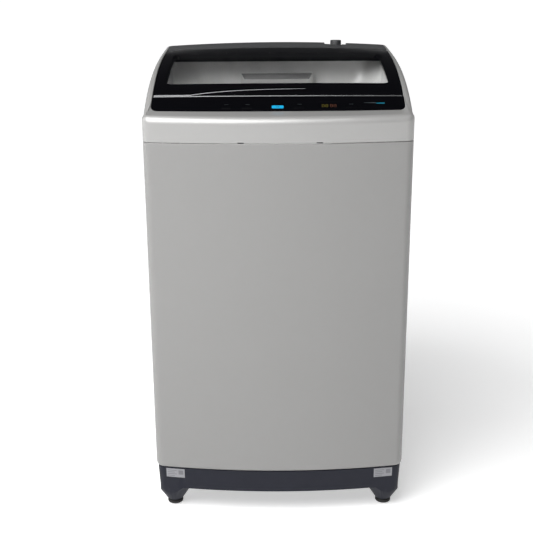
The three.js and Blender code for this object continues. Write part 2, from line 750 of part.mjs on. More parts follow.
function makeDrainValve() {
  const { x, y } = DRAIN_VALVE;
  const sump = turned([[0, 206], [18, 206], [22, 210], [22, 251.6], [0, 251.6]], x, y, 20);
  const outlet = turnedAlongY([[0, y], [13, y], [13, y + 56], [0, y + 56]], x, 226);
  const actuator = box(x - 16, x + 16, y - 74, y - 20, 212, 240);
  return join(sump, outlet, actuator);
}

// The belt runs round both pulleys on two straight stretches that touch both circles.
function makeBelt() {
  const lean = Math.asin((BIG_PULLEY - SMALL_PULLEY) / -MOTOR_X);
  const loop = (offset) => {
    const shape = new THREE.Shape();
    const turn = Math.PI / 2 + lean;
    shape.absarc(0, TUB_Y, BIG_PULLEY + offset, -turn, turn, false);
    shape.absarc(MOTOR_X, TUB_Y, SMALL_PULLEY + offset, turn, 2 * Math.PI - turn, false);
    return shape;
  };
  return cut(upright(loop(1.2), BELT_Z - 2.4, BELT_Z + 2.4), upright(loop(-2.6), BELT_Z - 9, BELT_Z + 9));
}

// ---- Drum, pulsator and drive ----

const makeDrum = () =>
  turned([[214.6, 297], [DRUM_RADIUS, 297], [DRUM_RADIUS, 700], [214.6, 700]], 0, TUB_Y, 36);

const makeDrumHub = () =>
  turned([[13.2, 266], [30, 266], [34, 274], [120, 278], [120, 284], [13.2, 284]], 0, TUB_Y);

const makeDrumBase = () =>
  turned([[9, 284.4], [204, 284.4], [214, 296], [214, 338], [211, 338], [176, 292], [9, 292]], 0, TUB_Y, 36);

const makeBalanceRing = () =>
  turned(
    [[190, 700.4], [MOUTH_RADIUS, 705], [MOUTH_RADIUS, 746], [191, 752.5], [213, 752.5], [219, 746], [219, 700.4]],
    0,
    TUB_Y,
    36,
  );

const makeLintFilter = (side) =>
  upright(
    roundedRectangle(side > 0 ? 192 : -209, side > 0 ? 209 : -192, TUB_Y - 44, TUB_Y + 44, 4),
    380,
    610,
    3,
  );

const makeDrumShaft = () => turned([[8.8, 192], [12.7, 192], [12.7, 284], [8.8, 284]], 0, TUB_Y, 20);

const PULSATOR_FINS = 6;

function makePulsator() {
  const disc = turned(
    [[8.5, 294], [164, 294], [170, 298], [170, 303], [130, 304], [60, 314], [32, 326], [32, 331], [8.5, 331]],
    0,
    TUB_Y,
    36,
  );
  const fin = pathOf([
    new THREE.Vector2(26, 300),
    new THREE.Vector2(156, 300),
    new THREE.Vector2(150, 312),
    new THREE.Vector2(110, 326),
    new THREE.Vector2(60, 329),
    new THREE.Vector2(26, 329),
  ]);
  const fins = Array.from({ length: PULSATOR_FINS }, (_, i) => {
    const blade = geometryOf(standing(fin, -6, 6));
    return solid(blade.rotateZ((2 * Math.PI * i) / PULSATOR_FINS).translate(0, TUB_Y, 0));
  });
  return join(disc, ...fins);
}

const makePulsatorCap = () => turned([[0, 331.4], [30, 331.4], [28, 338], [14, 343], [0, 344]], 0, TUB_Y);

const makePulsatorShaft = () => cylinder(8, 0, TUB_Y, 192, 330.8, 16);

const pulley = (radius, hub, shaft, shaftTop) => [
  [0, 110],
  [hub, 110],
  [hub, 113],
  [radius, 113],
  [radius, 115],
  [radius - 6, BELT_Z],
  [radius, 127],
  [radius, 129],
  [hub, 129],
  [hub, 140],
  [shaft, 140],
  [shaft, shaftTop],
  [0, shaftTop],
];

const makeDrivePulley = () => turned(pulley(BIG_PULLEY, 14, 8, 188), 0, TUB_Y, 20);

const makeMotorRotor = () => turned(pulley(SMALL_PULLEY, 10, 6, 238), MOTOR_X, TUB_Y, 14);

// ---- Assembly ----

place("cabinet_shell", makeCabinet(), silverPaint());
place("rear_panel", makeRearPanel(), zincSteel());
place("cord_gland", makeCordGland(), rubber());
place("base_frame", makeBase(), plinthPlastic());
place("drain_outlet", makeDrainOutlet(), deckPlastic());
place("foot_front_left", makeFoot(-FOOT_X, FOOT_FRONT_Y), rubber());
place("foot_front_right", makeFoot(FOOT_X, FOOT_FRONT_Y), rubber());
place("foot_rear_left", makeFoot(-FOOT_X, FOOT_REAR_Y), rubber());
place("foot_rear_right", makeFoot(FOOT_X, FOOT_REAR_Y), rubber());

place("top_cover", makeTopCover(), silverPlastic());
place("well_liner", makeWellLiner(), linerPlastic());
place("control_panel", makeControlPanel(), glossBlack());
place("display_window", makeDisplay(), glossBlack());
place("control_board", makeControlBoard(), boardGreen());
KEYS.forEach((key) => place(key.name, makeKey(key), key.name === "start_key" ? keyBlue() : glossBlack()));

place("rear_deck", makeRearDeck(), deckPlastic());
place("hinge_pin_left", makeHingePin(-1), zincSteel());
place("hinge_pin_right", makeHingePin(1), zincSteel());
place("lid_frame", makeLidFrame(), glossBlack());
place("lid_glass", makeLidGlass(), tintedGlass());
place("lid_trim", makeLidTrim(), chrome());

place("dispenser_housing", makeDispenserHousing(), linerPlastic());
place("detergent_drawer", makeDrawer(), silverPlastic());
place("inlet_valve", makeInletValve(), deckPlastic());
place("water_duct", makeWaterDuct(), whitePlastic());
place("pressure_sensor", makePressureSensor(), whitePlastic());

const CORNERS = ["front_left", "rear_left", "front_right", "rear_right"];
rodPlaces().forEach(([x, y], i) => {
  place(`hanger_rod_${CORNERS[i]}`, makeRod(x, y), zincSteel());
  place(`damper_cup_${CORNERS[i]}`, makeCup(x, y), deckPlastic());
});

place("outer_tub", makeTub(), tubPlastic());
place("tub_cover", makeTubCover(), tubPlastic());
place("mount_plate", makeMountPlate(), zincSteel());
place("gearcase", makeGearcase(), aluminium());
place("drive_motor", makeMotor(), zincSteel());
place("capacitor", makeCapacitor(), aluminium());
place("drain_valve", makeDrainValve(), whitePlastic());
place("drive_belt", makeBelt(), rubber());

place("wash_drum", makeDrum(), stainless());
place("drum_hub", makeDrumHub(), aluminium());
place("drum_base", makeDrumBase(), linerPlastic());
place("balance_ring", makeBalanceRing(), tubPlastic());
place("lint_filter_left", makeLintFilter(-1), linerPlastic());
place("lint_filter_right", makeLintFilter(1), linerPlastic());
place("drum_shaft", makeDrumShaft(), stainless());
place("pulsator", makePulsator(), linerPlastic());
place("pulsator_cap", makePulsatorCap(), linerPlastic());
place("pulsator_shaft", makePulsatorShaft(), stainless());
place("drive_pulley", makeDrivePulley(), aluminium());
place("motor_rotor", makeMotorRotor(), zincSteel());

export default machine;
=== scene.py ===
"""A top load washing machine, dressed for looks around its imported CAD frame.

Metres, +Z up. The front faces -Y, and the origin is on the floor under the middle of the machine.
"""
import math
from collections import namedtuple

import bmesh
import bpy
from mathutils import Matrix, Vector


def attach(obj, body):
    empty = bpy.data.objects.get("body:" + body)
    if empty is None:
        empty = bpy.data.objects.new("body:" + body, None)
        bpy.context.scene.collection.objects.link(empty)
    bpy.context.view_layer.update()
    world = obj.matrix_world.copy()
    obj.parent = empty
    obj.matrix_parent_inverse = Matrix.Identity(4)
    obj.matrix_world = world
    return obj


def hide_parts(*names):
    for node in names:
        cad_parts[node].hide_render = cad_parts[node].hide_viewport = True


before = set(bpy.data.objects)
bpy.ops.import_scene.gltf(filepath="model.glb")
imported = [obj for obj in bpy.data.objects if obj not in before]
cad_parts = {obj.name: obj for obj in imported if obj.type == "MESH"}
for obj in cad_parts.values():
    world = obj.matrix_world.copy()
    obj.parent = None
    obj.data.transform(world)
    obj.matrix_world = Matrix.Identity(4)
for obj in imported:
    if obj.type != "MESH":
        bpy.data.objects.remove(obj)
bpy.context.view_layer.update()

# ---- Sizes that the CAD frame shares ----

WIDTH = 0.520
DEPTH = 0.540
SEAM = 0.790
PLINTH_LOW = 0.052
PLINTH_TOP = 0.102
PLINTH_INSET = 0.0032
PLINTH_TAPER = 0.0025  # how much further in its lower edge is
HINGE = (0.172, 0.918)  # y and z of the lid's axis
TUB_Y = 0.005
GAP = 0.00035
LEDGE_REAR = -0.207  # where the silver ledge ends and the panel starts
OPENING_REAR = 0.2667
PANEL_REAR = -0.1649
LID_FRONT = -0.1588
TROUGH_FLOOR = 0.907
DECK_FRONT = 0.1908
TROUGH_REAR = DECK_FRONT + 0.003
TROUGH_HALF = 0.240
SPLAY = 0.028  # how much wider the top's opening is at its rear, as a share
KEY_Y = -0.1955
SEAM_SLOTS = (-0.071, 0.078)  # x of the two prying slots in the seam
INLET = (0.1385, 0.243)  # x and y of the water inlet's axis

Plan = namedtuple("Plan", "half front rear bow front_corner rear_corner splay", defaults=[0.0])
BODY = Plan(WIDTH / 2, -DEPTH / 2, DEPTH / 2, 0.025, 0.020, 0.012)
OPENING = Plan(0.246, LEDGE_REAR, OPENING_REAR, 0.003, 0.012, 0.010, SPLAY)
LEDGE = Plan(0.241, -0.199, 0.262, 0.003, 0.010, 0.008, SPLAY)
PANEL = Plan(0.2456, -0.2066, PANEL_REAR, 0.003, 0.0116, 0.002, SPLAY)
LID = Plan(0.2448, LID_FRONT, 0.176, 0.0, 0.003, 0.014, SPLAY)
DECK = Plan(0.2456, DECK_FRONT, 0.2663, 0.0, 0.003, 0.012, SPLAY)
WINDOW = Plan(0.223, -0.1095, 0.115, 0.0, 0.012, 0.016)
WELL_TOP = Plan(0.238, -0.158, 0.1785, 0.0, 0.030, 0.040)
WELL_FLANGE = Plan(0.2404, -0.174, 0.181, 0.0, 0.030, 0.042)
WELL_MIDDLE = Plan(0.228, -0.157, 0.176, 0.0, 0.080, 0.090)
WELL_FOOT = Plan(0.194, -0.155, 0.170, 0.0, 0.145, 0.150)


def shrunk(plan, by):
    corners = [max(corner - by, 0.001) for corner in (plan.front_corner, plan.rear_corner)]
    return Plan(plan.half - by, plan.front + by, plan.rear - by, plan.bow, *corners, plan.splay)


def between(a, b, t):
    return Plan(*[p + (q - p) * t for p, q in zip(a, b)])


def rearness(y):
    return min(max((y - LEDGE_REAR) / (OPENING_REAR - LEDGE_REAR), 0), 1)


def outline(plan, front=40, side=36, rear=12, corner=8):
    """A closed loop with a bowed front, anticlockwise from above, with the same points for every plan."""
    half, low, high, bow, near, far, splay = plan
    lean = math.atan(2 * bow * (half - near) / half**2)
    bow_end = half - near + near * math.sin(lean)
    corner_y = low + bow * (bow_end / half) ** 2 + near * math.cos(lean)
    points = []
    for i in range(front + 1):
        x = bow_end * (2 * i / front - 1)
        points.append((x, low + bow * (x / half) ** 2))

    def arc(x, y, radius, start, end, last=corner):
        for i in range(1, last + 1):
            angle = start + (end - start) * i / corner
            points.append((x + radius * math.cos(angle), y + radius * math.sin(angle)))

    def line(x0, y0, x1, y1, steps):
        for i in range(1, steps + 1):
            points.append((x0 + (x1 - x0) * i / steps, y0 + (y1 - y0) * i / steps))

    quarter = math.pi / 2
    arc(half - near, corner_y, near, lean - quarter, 0)
    line(half, corner_y, half, high - far, side)
    arc(half - far, high - far, far, 0, quarter)
    line(half - far, high, far - half, high, rear)
    arc(far - half, high - far, far, quarter, 2 * quarter)
    line(-half, high - far, -half, corner_y, side)
    arc(near - half, corner_y, near, 2 * quarter, 3 * quarter - lean, corner - 1)
    return [(x * (1 + splay * rearness(y)), y) for x, y in points]


TOP_HIGH = 0.935  # the height that the top's curve levels out to
TOP_FALL = 0.104  # how far below that it is at TOP_START
TOP_START = -0.225
TOP_REACH = 0.152  # the larger, the later it levels out
CROWN = 0.008  # how much higher the middle is than the sides, at the rear


def top_height(x, y):
    """The height of the outer surface of the panel, lid and deck."""
    if y < LEDGE_REAR:
        return top_height(x, LEDGE_REAR) - 0.06 * (LEDGE_REAR - y)
    along = min(max((y + 0.220) / 0.490, 0), 1)
    crown = CROWN * along * (1 - (x / BODY.half) ** 2)
    return TOP_HIGH - TOP_FALL * math.exp(-(y - TOP_START) / TOP_REACH) + crown + 0.004 * along**4


def top_slope(y):
    """The rise over run of top_height along y, in its middle part and without the crown."""
    return TOP_FALL / TOP_REACH * math.exp(-(y - TOP_START) / TOP_REACH)


# ---- Materials ----


def surface(material):
    return material.node_tree.nodes["Principled BSDF"]


def shader(name, colour, roughness, metallic=0.0, specular=0.5, coat=0.0, alpha=1.0):
    material = bpy.data.materials.new(name)
    material.use_nodes = True
    bsdf = surface(material)
    bsdf.inputs["Base Color"].default_value = (*colour, 1)
    bsdf.inputs["Roughness"].default_value = roughness
    bsdf.inputs["Metallic"].default_value = metallic
    bsdf.inputs["Specular IOR Level"].default_value = specular
    bsdf.inputs["Coat Weight"].default_value = coat
    bsdf.inputs["Coat Roughness"].default_value = 0.08
    bsdf.inputs["Alpha"].default_value = alpha
    return material


def add_node(material, kind, **sockets):
    node = material.node_tree.nodes.new(kind)
    for key, value in sockets.items():
        node.inputs[key.replace("_", " ")].default_value = value
    return node


def noise(material, scale, detail=2.0, stretch=(1, 1, 1)):
    """Noise in the piece's own metres, so a scale of 1000 has features of about a millimetre."""
    links = material.node_tree.links
    place = add_node(material, "ShaderNodeTexCoord")
    mapping = add_node(material, "ShaderNodeMapping", Scale=stretch)
    texture = add_node(material, "ShaderNodeTexNoise", Scale=scale, Detail=detail, Roughness=0.6)
    links.new(place.outputs["Object"], mapping.inputs["Vector"])
    links.new(mapping.outputs["Vector"], texture.inputs["Vector"])
    return texture.outputs["Fac"]


def set_ramp(ramp, *stops):
    for element, (place, colour) in zip(ramp.color_ramp.elements, stops):
        element.position = place
        element.color = (*colour, 1)


def vary_colour(material, factor, low, high):
    """Mixes the base colour between low and high times itself."""
    links = material.node_tree.links
    bsdf = surface(material)
    base = bsdf.inputs["Base Color"].default_value[:3]
    ramp = add_node(material, "ShaderNodeValToRGB")
    set_ramp(ramp, (0.3, [c * low for c in base]), (0.7, [min(c * high, 1) for c in base]))
    links.new(factor, ramp.inputs["Fac"])
    links.new(ramp.outputs["Color"], bsdf.inputs["Base Color"])


def vary_roughness(material, factor, low, high):
    links = material.node_tree.links
    span = add_node(material, "ShaderNodeMapRange", To_Min=low, To_Max=high)
    links.new(factor, span.inputs["Value"])
    links.new(span.outputs["Result"], surface(material).inputs["Roughness"])


def add_bump(material, factor, strength, distance):
    links = material.node_tree.links
    bump = add_node(material, "ShaderNodeBump", Strength=strength, Distance=distance)
    links.new(factor, bump.inputs["Height"])
    links.new(bump.outputs["Normal"], surface(material).inputs["Normal"])


def silver_paint(name, colour, roughness, metallic=0.25):
    """Metallic paint: fine flake, a little orange peel and soft large-scale unevenness."""
    material = shader(name, colour, roughness, metallic, specular=0.5, coat=0.20)
    vary_colour(material, noise(material, 2600, 1), 0.93, 1.07)
    vary_roughness(material, noise(material, 9, 3), roughness - 0.03, roughness + 0.04)
    add_bump(material, noise(material, 420, 2), 0.10, 0.0002)
    return material


def moulded(name, colour, roughness, grain=1400, depth=0.15, specular=0.5, metallic=0.0):
    """Moulded plastic with a fine texture and slightly uneven gloss."""
    material = shader(name, colour, roughness, metallic, specular)
    vary_colour(material, noise(material, 35, 4), 0.94, 1.06)
    vary_roughness(material, noise(material, 60, 3), roughness - 0.05, roughness + 0.06)
    add_bump(material, noise(material, grain, 2), depth, 0.0001)
    return material


def gloss_black(name):
    """High gloss black moulding, with the faint smears that show on it."""
    material = shader(name, (0.0016, 0.0016, 0.0022), 0.07, specular=0.10)
    vary_colour(material, noise(material, 300, 3), 0.8, 1.2)
    vary_roughness(material, noise(material, 14, 5), 0.05, 0.11)
    add_bump(material, noise(material, 60, 2), 0.03, 0.0002)
    return material


def smoked_glass(name, alpha):
    material = shader(name, (0.012, 0.013, 0.015), 0.03, specular=0.3, alpha=alpha)
    vary_roughness(material, noise(material, 20, 4), 0.02, 0.07)
    return material


def metal(name, colour, roughness, scale, depth, stretch=(1, 1, 1)):
    """Metal with a directional or even grain."""
    material = shader(name, colour, roughness, metallic=1.0)
    grain = noise(material, scale, 3, stretch)
    vary_colour(material, grain, 0.9, 1.06)
    vary_roughness(material, grain, roughness - 0.07, roughness + 0.09)
    add_bump(material, grain, depth, 0.00006)
    return material


def glowing(name, colour, strength):
    material = shader(name, colour, 0.35, specular=0.3)
    bsdf = surface(material)
    bsdf.inputs["Emission Color"].default_value = (*colour, 1)
    bsdf.inputs["Emission Strength"].default_value = strength
    vary_roughness(material, noise(material, 400, 2), 0.25, 0.4)
    return material


CABINET_SILVER = silver_paint("cabinet_silver", (0.230, 0.228, 0.224), 0.45)
COVER_SILVER = silver_paint("cover_silver", (0.315, 0.313, 0.308), 0.43, metallic=0.35)
# Painted shade: a dark grey for the drawer's top bevel that stands for the shadow in the gap above it.
DRAWER_PAINTED_SHADE = moulded("drawer_painted_shade", (0.11, 0.11, 0.11), 0.35)
DRAWER_SILVER = silver_paint("drawer_silver", (0.50, 0.50, 0.49), 0.30)
BLACK = gloss_black("panel_black")
GLASS = smoked_glass("lid_smoke", 0.085)
LINER_GREY = moulded("liner_grey", (0.66, 0.66, 0.65), 0.17, 900, 0.03)
SLATE = moulded("plinth_slate", (0.0095, 0.0105, 0.018), 0.55, 1100, 0.3, specular=0.22)
DECK_GREY = moulded("deck_grey", (0.038, 0.039, 0.041), 0.42, 1300, 0.25)
DARK_PLASTIC = moulded("dark_plastic", (0.03, 0.031, 0.033), 0.5)
WHITE_PLASTIC = moulded("white_plastic", (0.70, 0.71, 0.71), 0.4)
TUB_PLASTIC = moulded("tub_plastic", (0.55, 0.57, 0.57), 0.45, 500, 0.2)
RUBBER = moulded("rubber_black", (0.018, 0.017, 0.017), 0.8, 700, 0.5)
STAINLESS = metal("stainless", (0.62, 0.63, 0.64), 0.24, 300, 0.1, (1, 1, 30))
ZINC = metal("zinc_steel", (0.52, 0.54, 0.56), 0.42, 160, 0.1)
PLATED = metal("plated_steel", (0.55, 0.56, 0.57), 0.3, 500, 0.1)
CAST = metal("cast_aluminium", (0.48, 0.49, 0.50), 0.5, 700, 0.5)
TRIM = metal("bright_trim", (0.24, 0.245, 0.25), 0.14, 300, 0.03, (30, 1, 1))
MOTOR_GREY = moulded("motor_grey", (0.12, 0.125, 0.13), 0.4, 500, 0.2)
ACCENT = moulded("accent_silver", (0.30, 0.30, 0.31), 0.25, 400, 0.02, metallic=0.3)
COPPER = metal("winding_copper", (0.55, 0.22, 0.09), 0.35, 700, 0.5, (1, 1, 20))
RESIN = moulded("board_resin", (0.03, 0.14, 0.07), 0.25)
KEY_BLUE = glowing("key_blue", (0.006, 0.22, 0.40), 0.25)
MARK_GREY = glowing("print_grey", (0.026, 0.032, 0.034), 0.1)
MARK_TEAL = glowing("print_teal", (0.004, 0.080, 0.12), 0.3)
DIGIT_AMBER = glowing("digit_amber", (0.055, 0.045, 0.006), 0.3)
DIGIT_RED = glowing("digit_red", (0.050, 0.018, 0.010), 0.3)
LABEL = moulded("label_silver", (0.23, 0.23, 0.245), 0.4, 400, 0.05)
LABEL_INK = moulded("label_ink", (0.14, 0.14, 0.155), 0.5, 400, 0.05)

# ---- Mesh making ----


def linked(obj):
    bpy.context.scene.collection.objects.link(obj)
    return obj


def piece(name, vertices, faces, material):
    """A mesh object with its doubled points merged and its faces outwards."""
    mesh = bpy.data.meshes.new(name)
    mesh.from_pydata([tuple(v) for v in vertices], [], faces)
    work = bmesh.new()
    work.from_mesh(mesh)
    bmesh.ops.remove_doubles(work, verts=work.verts, dist=1e-6)
    bmesh.ops.recalc_face_normals(work, faces=work.faces)
    work.to_mesh(mesh)
    work.free()
    obj = linked(bpy.data.objects.new(name, mesh))
    obj.data.materials.append(material)
    return obj


def applied(obj):
    """The object with its modifiers made real."""
    view = bpy.context.evaluated_depsgraph_get()
    mesh = bpy.data.meshes.new_from_object(obj.evaluated_get(view))
    obj.modifiers.clear()
    obj.data = mesh
    return obj


def boolean(obj, others, operation="DIFFERENCE"):
    for other in others:
        step = obj.modifiers.new("cut", "BOOLEAN")
        step.operation = operation
        step.solver = "EXACT"
        step.object = other
    applied(obj)
    for other in others:
        bpy.data.objects.remove(other, do_unlink=True)
    return obj


def smooth(obj, yes=True):
    obj.data.polygons.foreach_set("use_smooth", [yes] * len(obj.data.polygons))
    return obj


def softened(obj, width=0.0006, segments=2, angle=35):
    """Rounds the sharp edges and shades the rest smooth."""
    smooth(obj)
    bevel = obj.modifiers.new("round", "BEVEL")
    bevel.width = width
    bevel.segments = segments
    bevel.limit_method = "ANGLE"
    bevel.angle_limit = math.radians(angle)
    bevel.use_clamp_overlap = True
    applied(obj)
    shading = obj.modifiers.new("shading", "WEIGHTED_NORMAL")
    shading.keep_sharp = True
    shading.weight = 80
    return applied(obj)


def dressed(obj, body, slot, *nodes):
    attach(obj, body)
    if nodes:
        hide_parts(*nodes)
    return obj


def joined(name, objects):
    """One object out of several, which keep their materials."""
    first = objects[0]
    with bpy.context.temp_override(active_object=first, selected_editable_objects=objects):
        bpy.ops.object.join()
    first.name = name
    first.data.name = name
    return first


def raised(points, z):
    return [(x, y, z) for x, y in points]


def on_top(points, drop=0):
    """The points at the height of the top surface, or a drop below it."""
    return [(x, y, top_height(x, y) - drop) for x, y in points]


def circle(x, y, radius, steps=40):
    angles = [2 * math.pi * i / steps for i in range(steps)]
    return [(x + radius * math.cos(a), y + radius * math.sin(a)) for a in angles]


def assembled(name, parts, body, slot, *nodes):
    return dressed(joined(name, parts), body, slot, *nodes)


def loft(name, rings, material, closed=False, caps=True):
    """A skin through rings with the same number of points each."""
    count = len(rings[0])
    vertices = [v for ring in rings for v in ring]
    spans = len(rings) if closed else len(rings) - 1
    faces = []
    for i in range(spans):
        a, b = i * count, ((i + 1) % len(rings)) * count
        faces += [(a + j, a + (j + 1) % count, b + (j + 1) % count, b + j) for j in range(count)]
    if caps and not closed:
        faces += [tuple(range(count)), tuple(range(len(vertices) - count, len(vertices)))]
    return piece(name, vertices, faces, material)


THINNEST = 0.01  # mm, the radius that stands for a point on a turned piece's axis


def turned(name, profile, material, x=0.0, y=0.0, steps=72):
    """A turned piece on an upright axis; its profile lists [radius, height] in millimetres."""
    rings = [raised(circle(x, y, max(r, THINNEST) / 1000, steps), height / 1000) for r, height in profile]
    solid = profile[0][0] == 0 and profile[-1][0] == 0
    return loft(name, rings, material, closed=not solid)


def laid_along_y(obj, x, z):
    """Turns an upright turned piece so that its axis runs along Y through x, z."""
    obj.data.transform(Matrix.Translation((x, 0, z)) @ Matrix.Rotation(-math.pi / 2, 4, "X"))
    return obj


def laid_along_x(obj, y, z):
    obj.data.transform(Matrix.Translation((0, y, z)) @ Matrix.Rotation(math.pi / 2, 4, "Y"))
    return obj


def prism(name, points, low, high, material):
    return loft(name, [raised(points, z) for z in (low, high)], material)


def block(name, x0, x1, y0, y1, z0, z1, material):
    return prism(name, [(x0, y0), (x1, y0), (x1, y1), (x0, y1)], z0, z1, material)


def rounded(x0, x1, y0, y1, radius, steps=6):
    points = []
    corners = ((x1 - radius, y0 + radius, -90), (x1 - radius, y1 - radius, 0),
               (x0 + radius, y1 - radius, 90), (x0 + radius, y0 + radius, 180))
    for x, y, start in corners:
        for i in range(steps + 1):
            angle = math.radians(start + 90 * i / steps)
            points.append((x + radius * math.cos(angle), y + radius * math.sin(angle)))
    return points


COLUMN_PITCH = 0.05


def sheet(name, points, low, high, material, pitch=0.009):
    """A slab over a flat outline that follows the top surface, from low to high above it."""
    work = bmesh.new()
    work.faces.new([work.verts.new((x, y, 0)) for x, y in points])
    xs, ys = [p[0] for p in points], [p[1] for p in points]

    def slice_at(place, direction):
        everything = work.verts[:] + work.edges[:] + work.faces[:]
        bmesh.ops.bisect_plane(work, geom=everything, plane_co=place, plane_no=direction, dist=1e-6)

    rows = max(int((max(ys) - min(ys)) / pitch), 1)
    columns = max(int((max(xs) - min(xs)) / COLUMN_PITCH), 1)
    for i in range(1, rows):
        slice_at((0, min(ys) + (max(ys) - min(ys)) * i / rows, 0), (0, 1, 0))
    for i in range(1, columns):
        slice_at((min(xs) + (max(xs) - min(xs)) * i / columns, 0, 0), (1, 0, 0))
    bmesh.ops.triangulate(work, faces=work.faces)
    work.verts.index_update()
    flat = [v.co.copy() for v in work.verts]
    count = len(flat)
    vertices = [(v.x, v.y, top_height(v.x, v.y) + high) for v in flat]
    vertices += [(v.x, v.y, top_height(v.x, v.y) + low) for v in flat]
    faces = []
    for face in work.faces:
        loop = [v.index for v in face.verts]
        faces += [tuple(loop), tuple(i + count for i in reversed(loop))]
    for edge in work.edges:
        if len(edge.link_faces) == 1:
            a, b = edge.verts[0].index, edge.verts[1].index
            faces.append((a, b, b + count, a + count))
    work.free()
    return piece(name, vertices, faces, material)


def normals(points):
    """The outward direction of a closed outline at each point."""
    directions = []
    for i in range(len(points)):
        before, after = points[i - 1], points[(i + 1) % len(points)]
        direction = Vector((after[1] - before[1], before[0] - after[0]))
        directions.append(direction.normalized())
    return directions


# ---- Cabinet and base ----

ROD_PLACES = [(side * 0.218, TUB_Y + out) for side in (-1, 1) for out in (-0.209, 0.209)]
ROD_HOLE = 0.0054
STUD_HOLE = 0.0056
FOOT_PLACES = [(side * 0.225, y) for side in (-1, 1) for y in (-0.210, 0.225)]
FEET = {"foot_front_left": "left_foot", "foot_rear_left": "cabinet",
        "foot_front_right": "right_foot", "foot_rear_right": "cabinet"}


def make_cabinet():
    """The folded sheet: rolled in at its foot and turned in at its top edge."""
    thickness = 0.0008
    around = outline(BODY, front=56, side=30, rear=2, corner=10)
    rear_middle = next(i for i, p in enumerate(around) if abs(p[0]) < 1e-9 and p[1] > 0)
    path = around[rear_middle + 2:] + around[:rear_middle - 1]
    flange_end = 0.236
    path = [(-flange_end, BODY.rear)] + path + [(flange_end, BODY.rear)]
    facing = normals(path)
    facing[0] = facing[-1] = Vector((0, 1))
    low, high = PLINTH_TOP + GAP, SEAM - GAP
    roll_height, roll_in, roll_steps = 0.010, 0.0044, 8
    levels = []
    for step in range(roll_steps + 1):
        share = 1 - step / roll_steps
        levels.append((roll_in * (1 - math.sqrt(1 - share**2)), low + roll_height * (1 - share)))
    levels += [(0, 0.30), (0, 0.55), (0, high - 0.0012), (0.0003, high - 0.0004), (0.001, high)]
    section = levels + [(inset + thickness, z) for inset, z in reversed(levels)]
    rings = []
    for (x, y), away in zip(path, facing):
        rings.append([(x - away.x * inset, y - away.y * inset, z) for inset, z in section])
    shell = loft("cabinet_skin", rings, CABINET_SILVER)
    gussets = []
    edge, leg = 0.2588, 0.118
    for side in (-1, 1):
        for y, inward in ((-0.2425, 1), (0.2664, -1)):
            corner = [(side * edge, y), (side * edge, y + inward * leg), (side * (edge - leg), y)]
            gussets.append(prism("gusset", corner, 0.776, 0.779, CABINET_SILVER))
    holes = [prism("hole", circle(x, y, ROD_HOLE), 0.77, 0.785, ZINC) for x, y in ROD_PLACES]
    room = prism("room", outline(shrunk(BODY, 0.0004)), 0.7, 0.8, ZINC)
    plates = boolean(boolean(joined("gussets", gussets), [room], "INTERSECT"), holes)
    softened(shell, 0.0002, 1, 60)
    dressed(shell, "cabinet", "silver_paint", "cabinet_shell")
    dressed(softened(plates, 0.0004), "cabinet", "silver_paint")


def make_base():
    """The moulded plinth, narrowing downwards, with a tapered boss over each foot."""
    top, low = PLINTH_INSET, PLINTH_INSET + PLINTH_TAPER
    walls = [(top + 0.0012, PLINTH_TOP), (top + 0.0002, PLINTH_TOP - 0.0008), (top, PLINTH_TOP - 0.0025)]
    walls += [(low, PLINTH_LOW + 0.0015), (low + 0.0002, PLINTH_LOW + 0.0004), (low + 0.0012, PLINTH_LOW)]
    walls += [(0.0364, PLINTH_LOW), (0.0372, PLINTH_LOW + 0.001), (0.0372, PLINTH_TOP)]
    rings = [raised(outline(shrunk(BODY, inset), 40, 6, 8, 8), z) for inset, z in walls]
    ring = loft("plinth", rings, SLATE, closed=True)
    profile = [(0, 10.5), (14.6, 10.5), (16.8, 11.4), (18, 12.8), (43, 52), (43, 100), (0, 100)]
    bosses = [turned("boss", profile, SLATE, x, y, 48) for x, y in FOOT_PLACES]
    for boss in bosses:
        boolean(boss, [prism("within", outline(shrunk(BODY, low)), 0.0, PLINTH_TOP, SLATE)], "INTERSECT")
    boolean(ring, bosses, "UNION")
    drain = laid_along_y(turned("drain", [(0, 200), (15.4, 200), (15.4, 280), (0, 280)], SLATE), 0.120, 0.080)
    holes = [prism("stud", circle(x, y, STUD_HOLE), 0.0, 0.12, SLATE) for x, y in FOOT_PLACES]
    boolean(ring, [drain, *holes])
    dressed(softened(ring, 0.0009, 2, 38), "cabinet", "slate_plastic", "base_frame")


def make_foot(node, body, x, y):
    """A grooved rubber pad on a threaded stud."""
    pad = [(0, 0), (11, 0), (12, 0.7), (13.2, 0.7), (15.8, 2.2), (16.5, 3.2)]
    pad += [(16.5, 4.8), (15.9, 5.2), (15.9, 5.7), (16.5, 6.1), (16.5, 7.2), (15, 9), (6, 9), (0, 9)]
    rubber = softened(turned(node + "_pad", pad, RUBBER, x, y, 48), 0.0003, 1)
    crest, root, turns, pitch = 5, 4.4, 25, 2.4
    thread = [(0, 8.5)]
    for i in range(turns):
        height = 10.4 + i * pitch
        thread += [(crest, height), (crest, height + 0.6), (root, height + 1.2), (root, height + 1.8)]
    thread += [(root, 71.5), (0, 72)]
    stud = turned("stud", thread, PLATED, x, y, 24)
    assembled(node + "_piece", [rubber, stud], body, "black_rubber", node)


def plinth_front(x, z):
    inset = PLINTH_INSET + PLINTH_TAPER * (PLINTH_TOP - z) / (PLINTH_TOP - PLINTH_LOW)
    return BODY.front + inset + BODY.bow * (x / (BODY.half - inset)) ** 2


def on_plinth(name, x0, x1, z0, z1, lift, material):
    """A thin plate that follows the plinth's front face, a little sunk into it."""
    steps, sunk = 8, 0.0002
    rings = []
    for i in range(steps + 1):
        x = x0 + (x1 - x0) * i / steps
        section = ((z0, 0), (z1, 0), (z1, lift), (z0, lift))
        rings.append([(x, plinth_front(x, z) + sunk - out, z) for z, out in section])
    return loft(name, rings, material)


